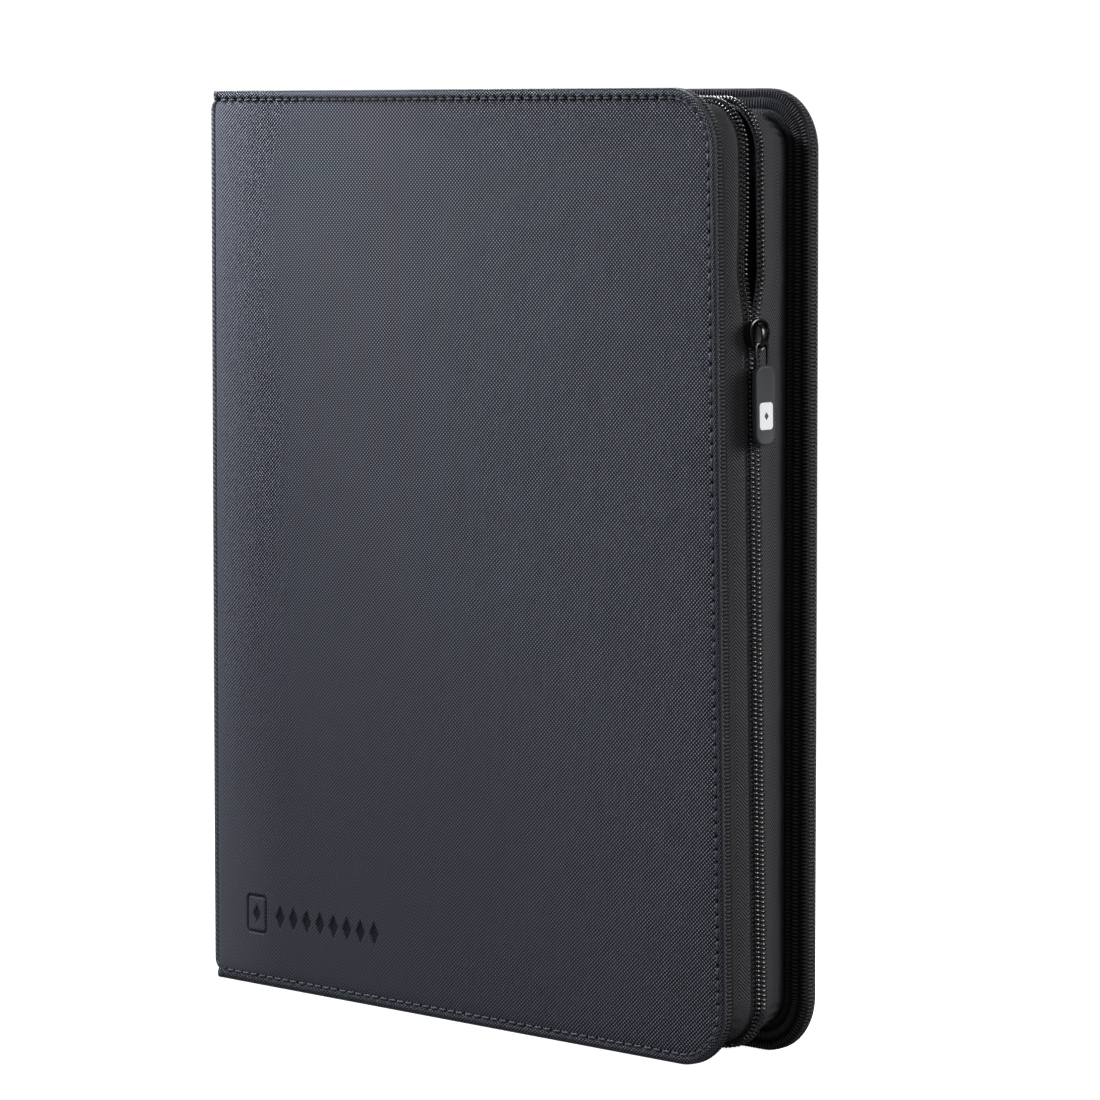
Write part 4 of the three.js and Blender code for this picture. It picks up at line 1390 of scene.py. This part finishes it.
def dress(node, look, bevel):
    """Gives a CAD node its material, and eases its edges."""
    piece = frame["nodes"][node]
    piece.data.materials.clear()
    piece.data.materials.append(LOOKS[look])
    ease = piece.modifiers.new("ease", "BEVEL")
    ease.width = bevel * MM
    ease.segments = 3
    ease.limit_method = "ANGLE"


def dress_cad():
    """The zip's stops, the boards, the binding strip and the spine's lining."""
    for node in ("front_zip_top_stop", "back_zip_top_stop", "zip_bottom_stop"):
        dress(node, "black_metal", 0.45)
    for node in ("spine_board", "front_cover_board", "back_cover_board"):
        dress(node, "grey_board", 0.25)
    dress("leaf_binding_strip", "binding_plastic", 0.4)
    dress("spine_lining", "lining_cloth", 0.15)


# ---- Stage, light and camera ----


def only_for_camera(tree, unseen, seen):
    """One value for what the camera sees, and another for the light that falls on the object."""
    path = tree.nodes.new("ShaderNodeLightPath")
    value = tree.nodes.new("ShaderNodeMapRange")
    tree.links.new(path.outputs["Is Camera Ray"], value.inputs["Value"])
    value.inputs["To Min"].default_value = unseen
    value.inputs["To Max"].default_value = seen
    return value.outputs["Result"]


FLOOR_HALF = 30  # metres
FLOOR_DROP = 0.0003


def floor():
    """A wide pale floor, which the camera sees as a white sweep with the object's soft shadow on it."""
    look = Look("pale_floor", roughness=0.9, specular=0.0)
    clouds = look.noise(400, detail=2)
    pale = look.mix(clouds, (0.90, 0.90, 0.90), (0.93, 0.93, 0.93))
    look.colour(look.mix(only_for_camera(look.tree, 0.0, 1.0), (0.15, 0.15, 0.15), pale))
    look.shader.inputs["Emission Color"].default_value = (1, 1, 1, 1)
    look.feed(look.shader.inputs["Emission Strength"], only_for_camera(look.tree, 0.0, 0.97))
    mesh = bpy.data.meshes.new("floor")
    corners = [(x * FLOOR_HALF, y * FLOOR_HALF, 0) for x, y in ((-1, -1), (1, -1), (1, 1), (-1, 1))]
    mesh.from_pydata(corners, [], [(0, 1, 2, 3)])
    mesh.materials.append(look.material)
    piece = linked("floor", mesh)
    piece.location.z = -FLOOR_DROP


def world():
    """White surroundings, which light the object only a little."""
    made = bpy.data.worlds.new("studio")
    made.use_nodes = True
    tree = made.node_tree
    background = tree.nodes["Background"]
    tree.links.new(only_for_camera(tree, 0.10, 1.15), background.inputs["Strength"])
    background.inputs["Color"].default_value = (1, 1, 1, 1)
    bpy.context.scene.world = made


def aim(piece, direction):
    """Turns a light or camera to face along a direction."""
    piece.rotation_mode = "QUATERNION"
    piece.rotation_quaternion = direction.to_track_quat("-Z", "Y")


def softbox(name, place, target, size, power, spread, colour=(1, 1, 1)):
    """A soft light. Its place and size are in metres, its power in watts and its spread in degrees."""
    light = bpy.data.lights.new(name, "AREA")
    light.shape = "RECTANGLE"
    light.size, light.size_y = size
    light.energy = power
    light.spread = math.radians(spread)
    light.color = colour
    lamp = linked(name, light)
    lamp.location = place
    aim(lamp, Vector(target) - Vector(place))


def lights():
    middle = (0, 0, HEIGHT / 2 * MM)
    cool = (0.90, 0.95, 1.1)
    softbox("key", (-0.52, -0.32, 0.62), (-0.08, -0.02, 0.25), (0.35, 0.35), 0.95, 90, cool)
    softbox("rake", (-0.40, -0.13, 0.66), (-0.06, 0.0, 0.26), (0.12, 0.12), 1.35, 100, cool)
    softbox("right", (1.1, 0.55, 0.6), middle, (0.6, 0.8), 1.5, 50)
    softbox("fill", (1.3, -0.9, 0.5), middle, (0.5, 0.5), 0.55, 60)
    softbox("top", (0.0, -0.1, 1.3), middle, (0.7, 0.5), 0.3, 60, cool)
    softbox("back", (-0.8, 1.2, 0.9), middle, (0.8, 0.8), 2.2, 50)


CAMERA_PLACE = np.array([1283.7, -1252.2, 333.1])
CAMERA_AZIMUTH = 45.08
CAMERA_ELEVATION = 3.87
CAMERA_LENS = 158.8
CAMERA_SHIFT = -0.0909


def camera():
    data = bpy.data.cameras.new("camera")
    data.sensor_width = 36
    data.lens = CAMERA_LENS
    data.shift_y = CAMERA_SHIFT
    data.clip_start = 0.05
    data.clip_end = 200
    azimuth = math.radians(CAMERA_AZIMUTH)
    elevation = math.radians(CAMERA_ELEVATION)
    level = math.cos(elevation)
    ahead = Vector((-math.sin(azimuth) * level, math.cos(azimuth) * level, -math.sin(elevation)))
    made = linked("camera", data)
    made.location = CAMERA_PLACE * MM
    aim(made, ahead)
    bpy.context.scene.camera = made


# ---- All of it ----

camera()
floor()
world()
lights()
bpy.context.scene.view_settings.view_transform = "Standard"

for cover in COVERS:
    cloth = cover_panel(cover)
    sewn_on = [cover_hem(cover), cover_piping(cover), cover_stitches(cover)]
    edge_ribbon(cover)
    tape(cover)
    coil(cover)
    hinge_cloth(cover)
    cover_lining(cover)
spine_panel()
spine_ends()
slider()
pull_link()
pull_tab()
pull_badge()
for number in range(1, LEAVES + 1):
    leaf(number)
dress_cad()
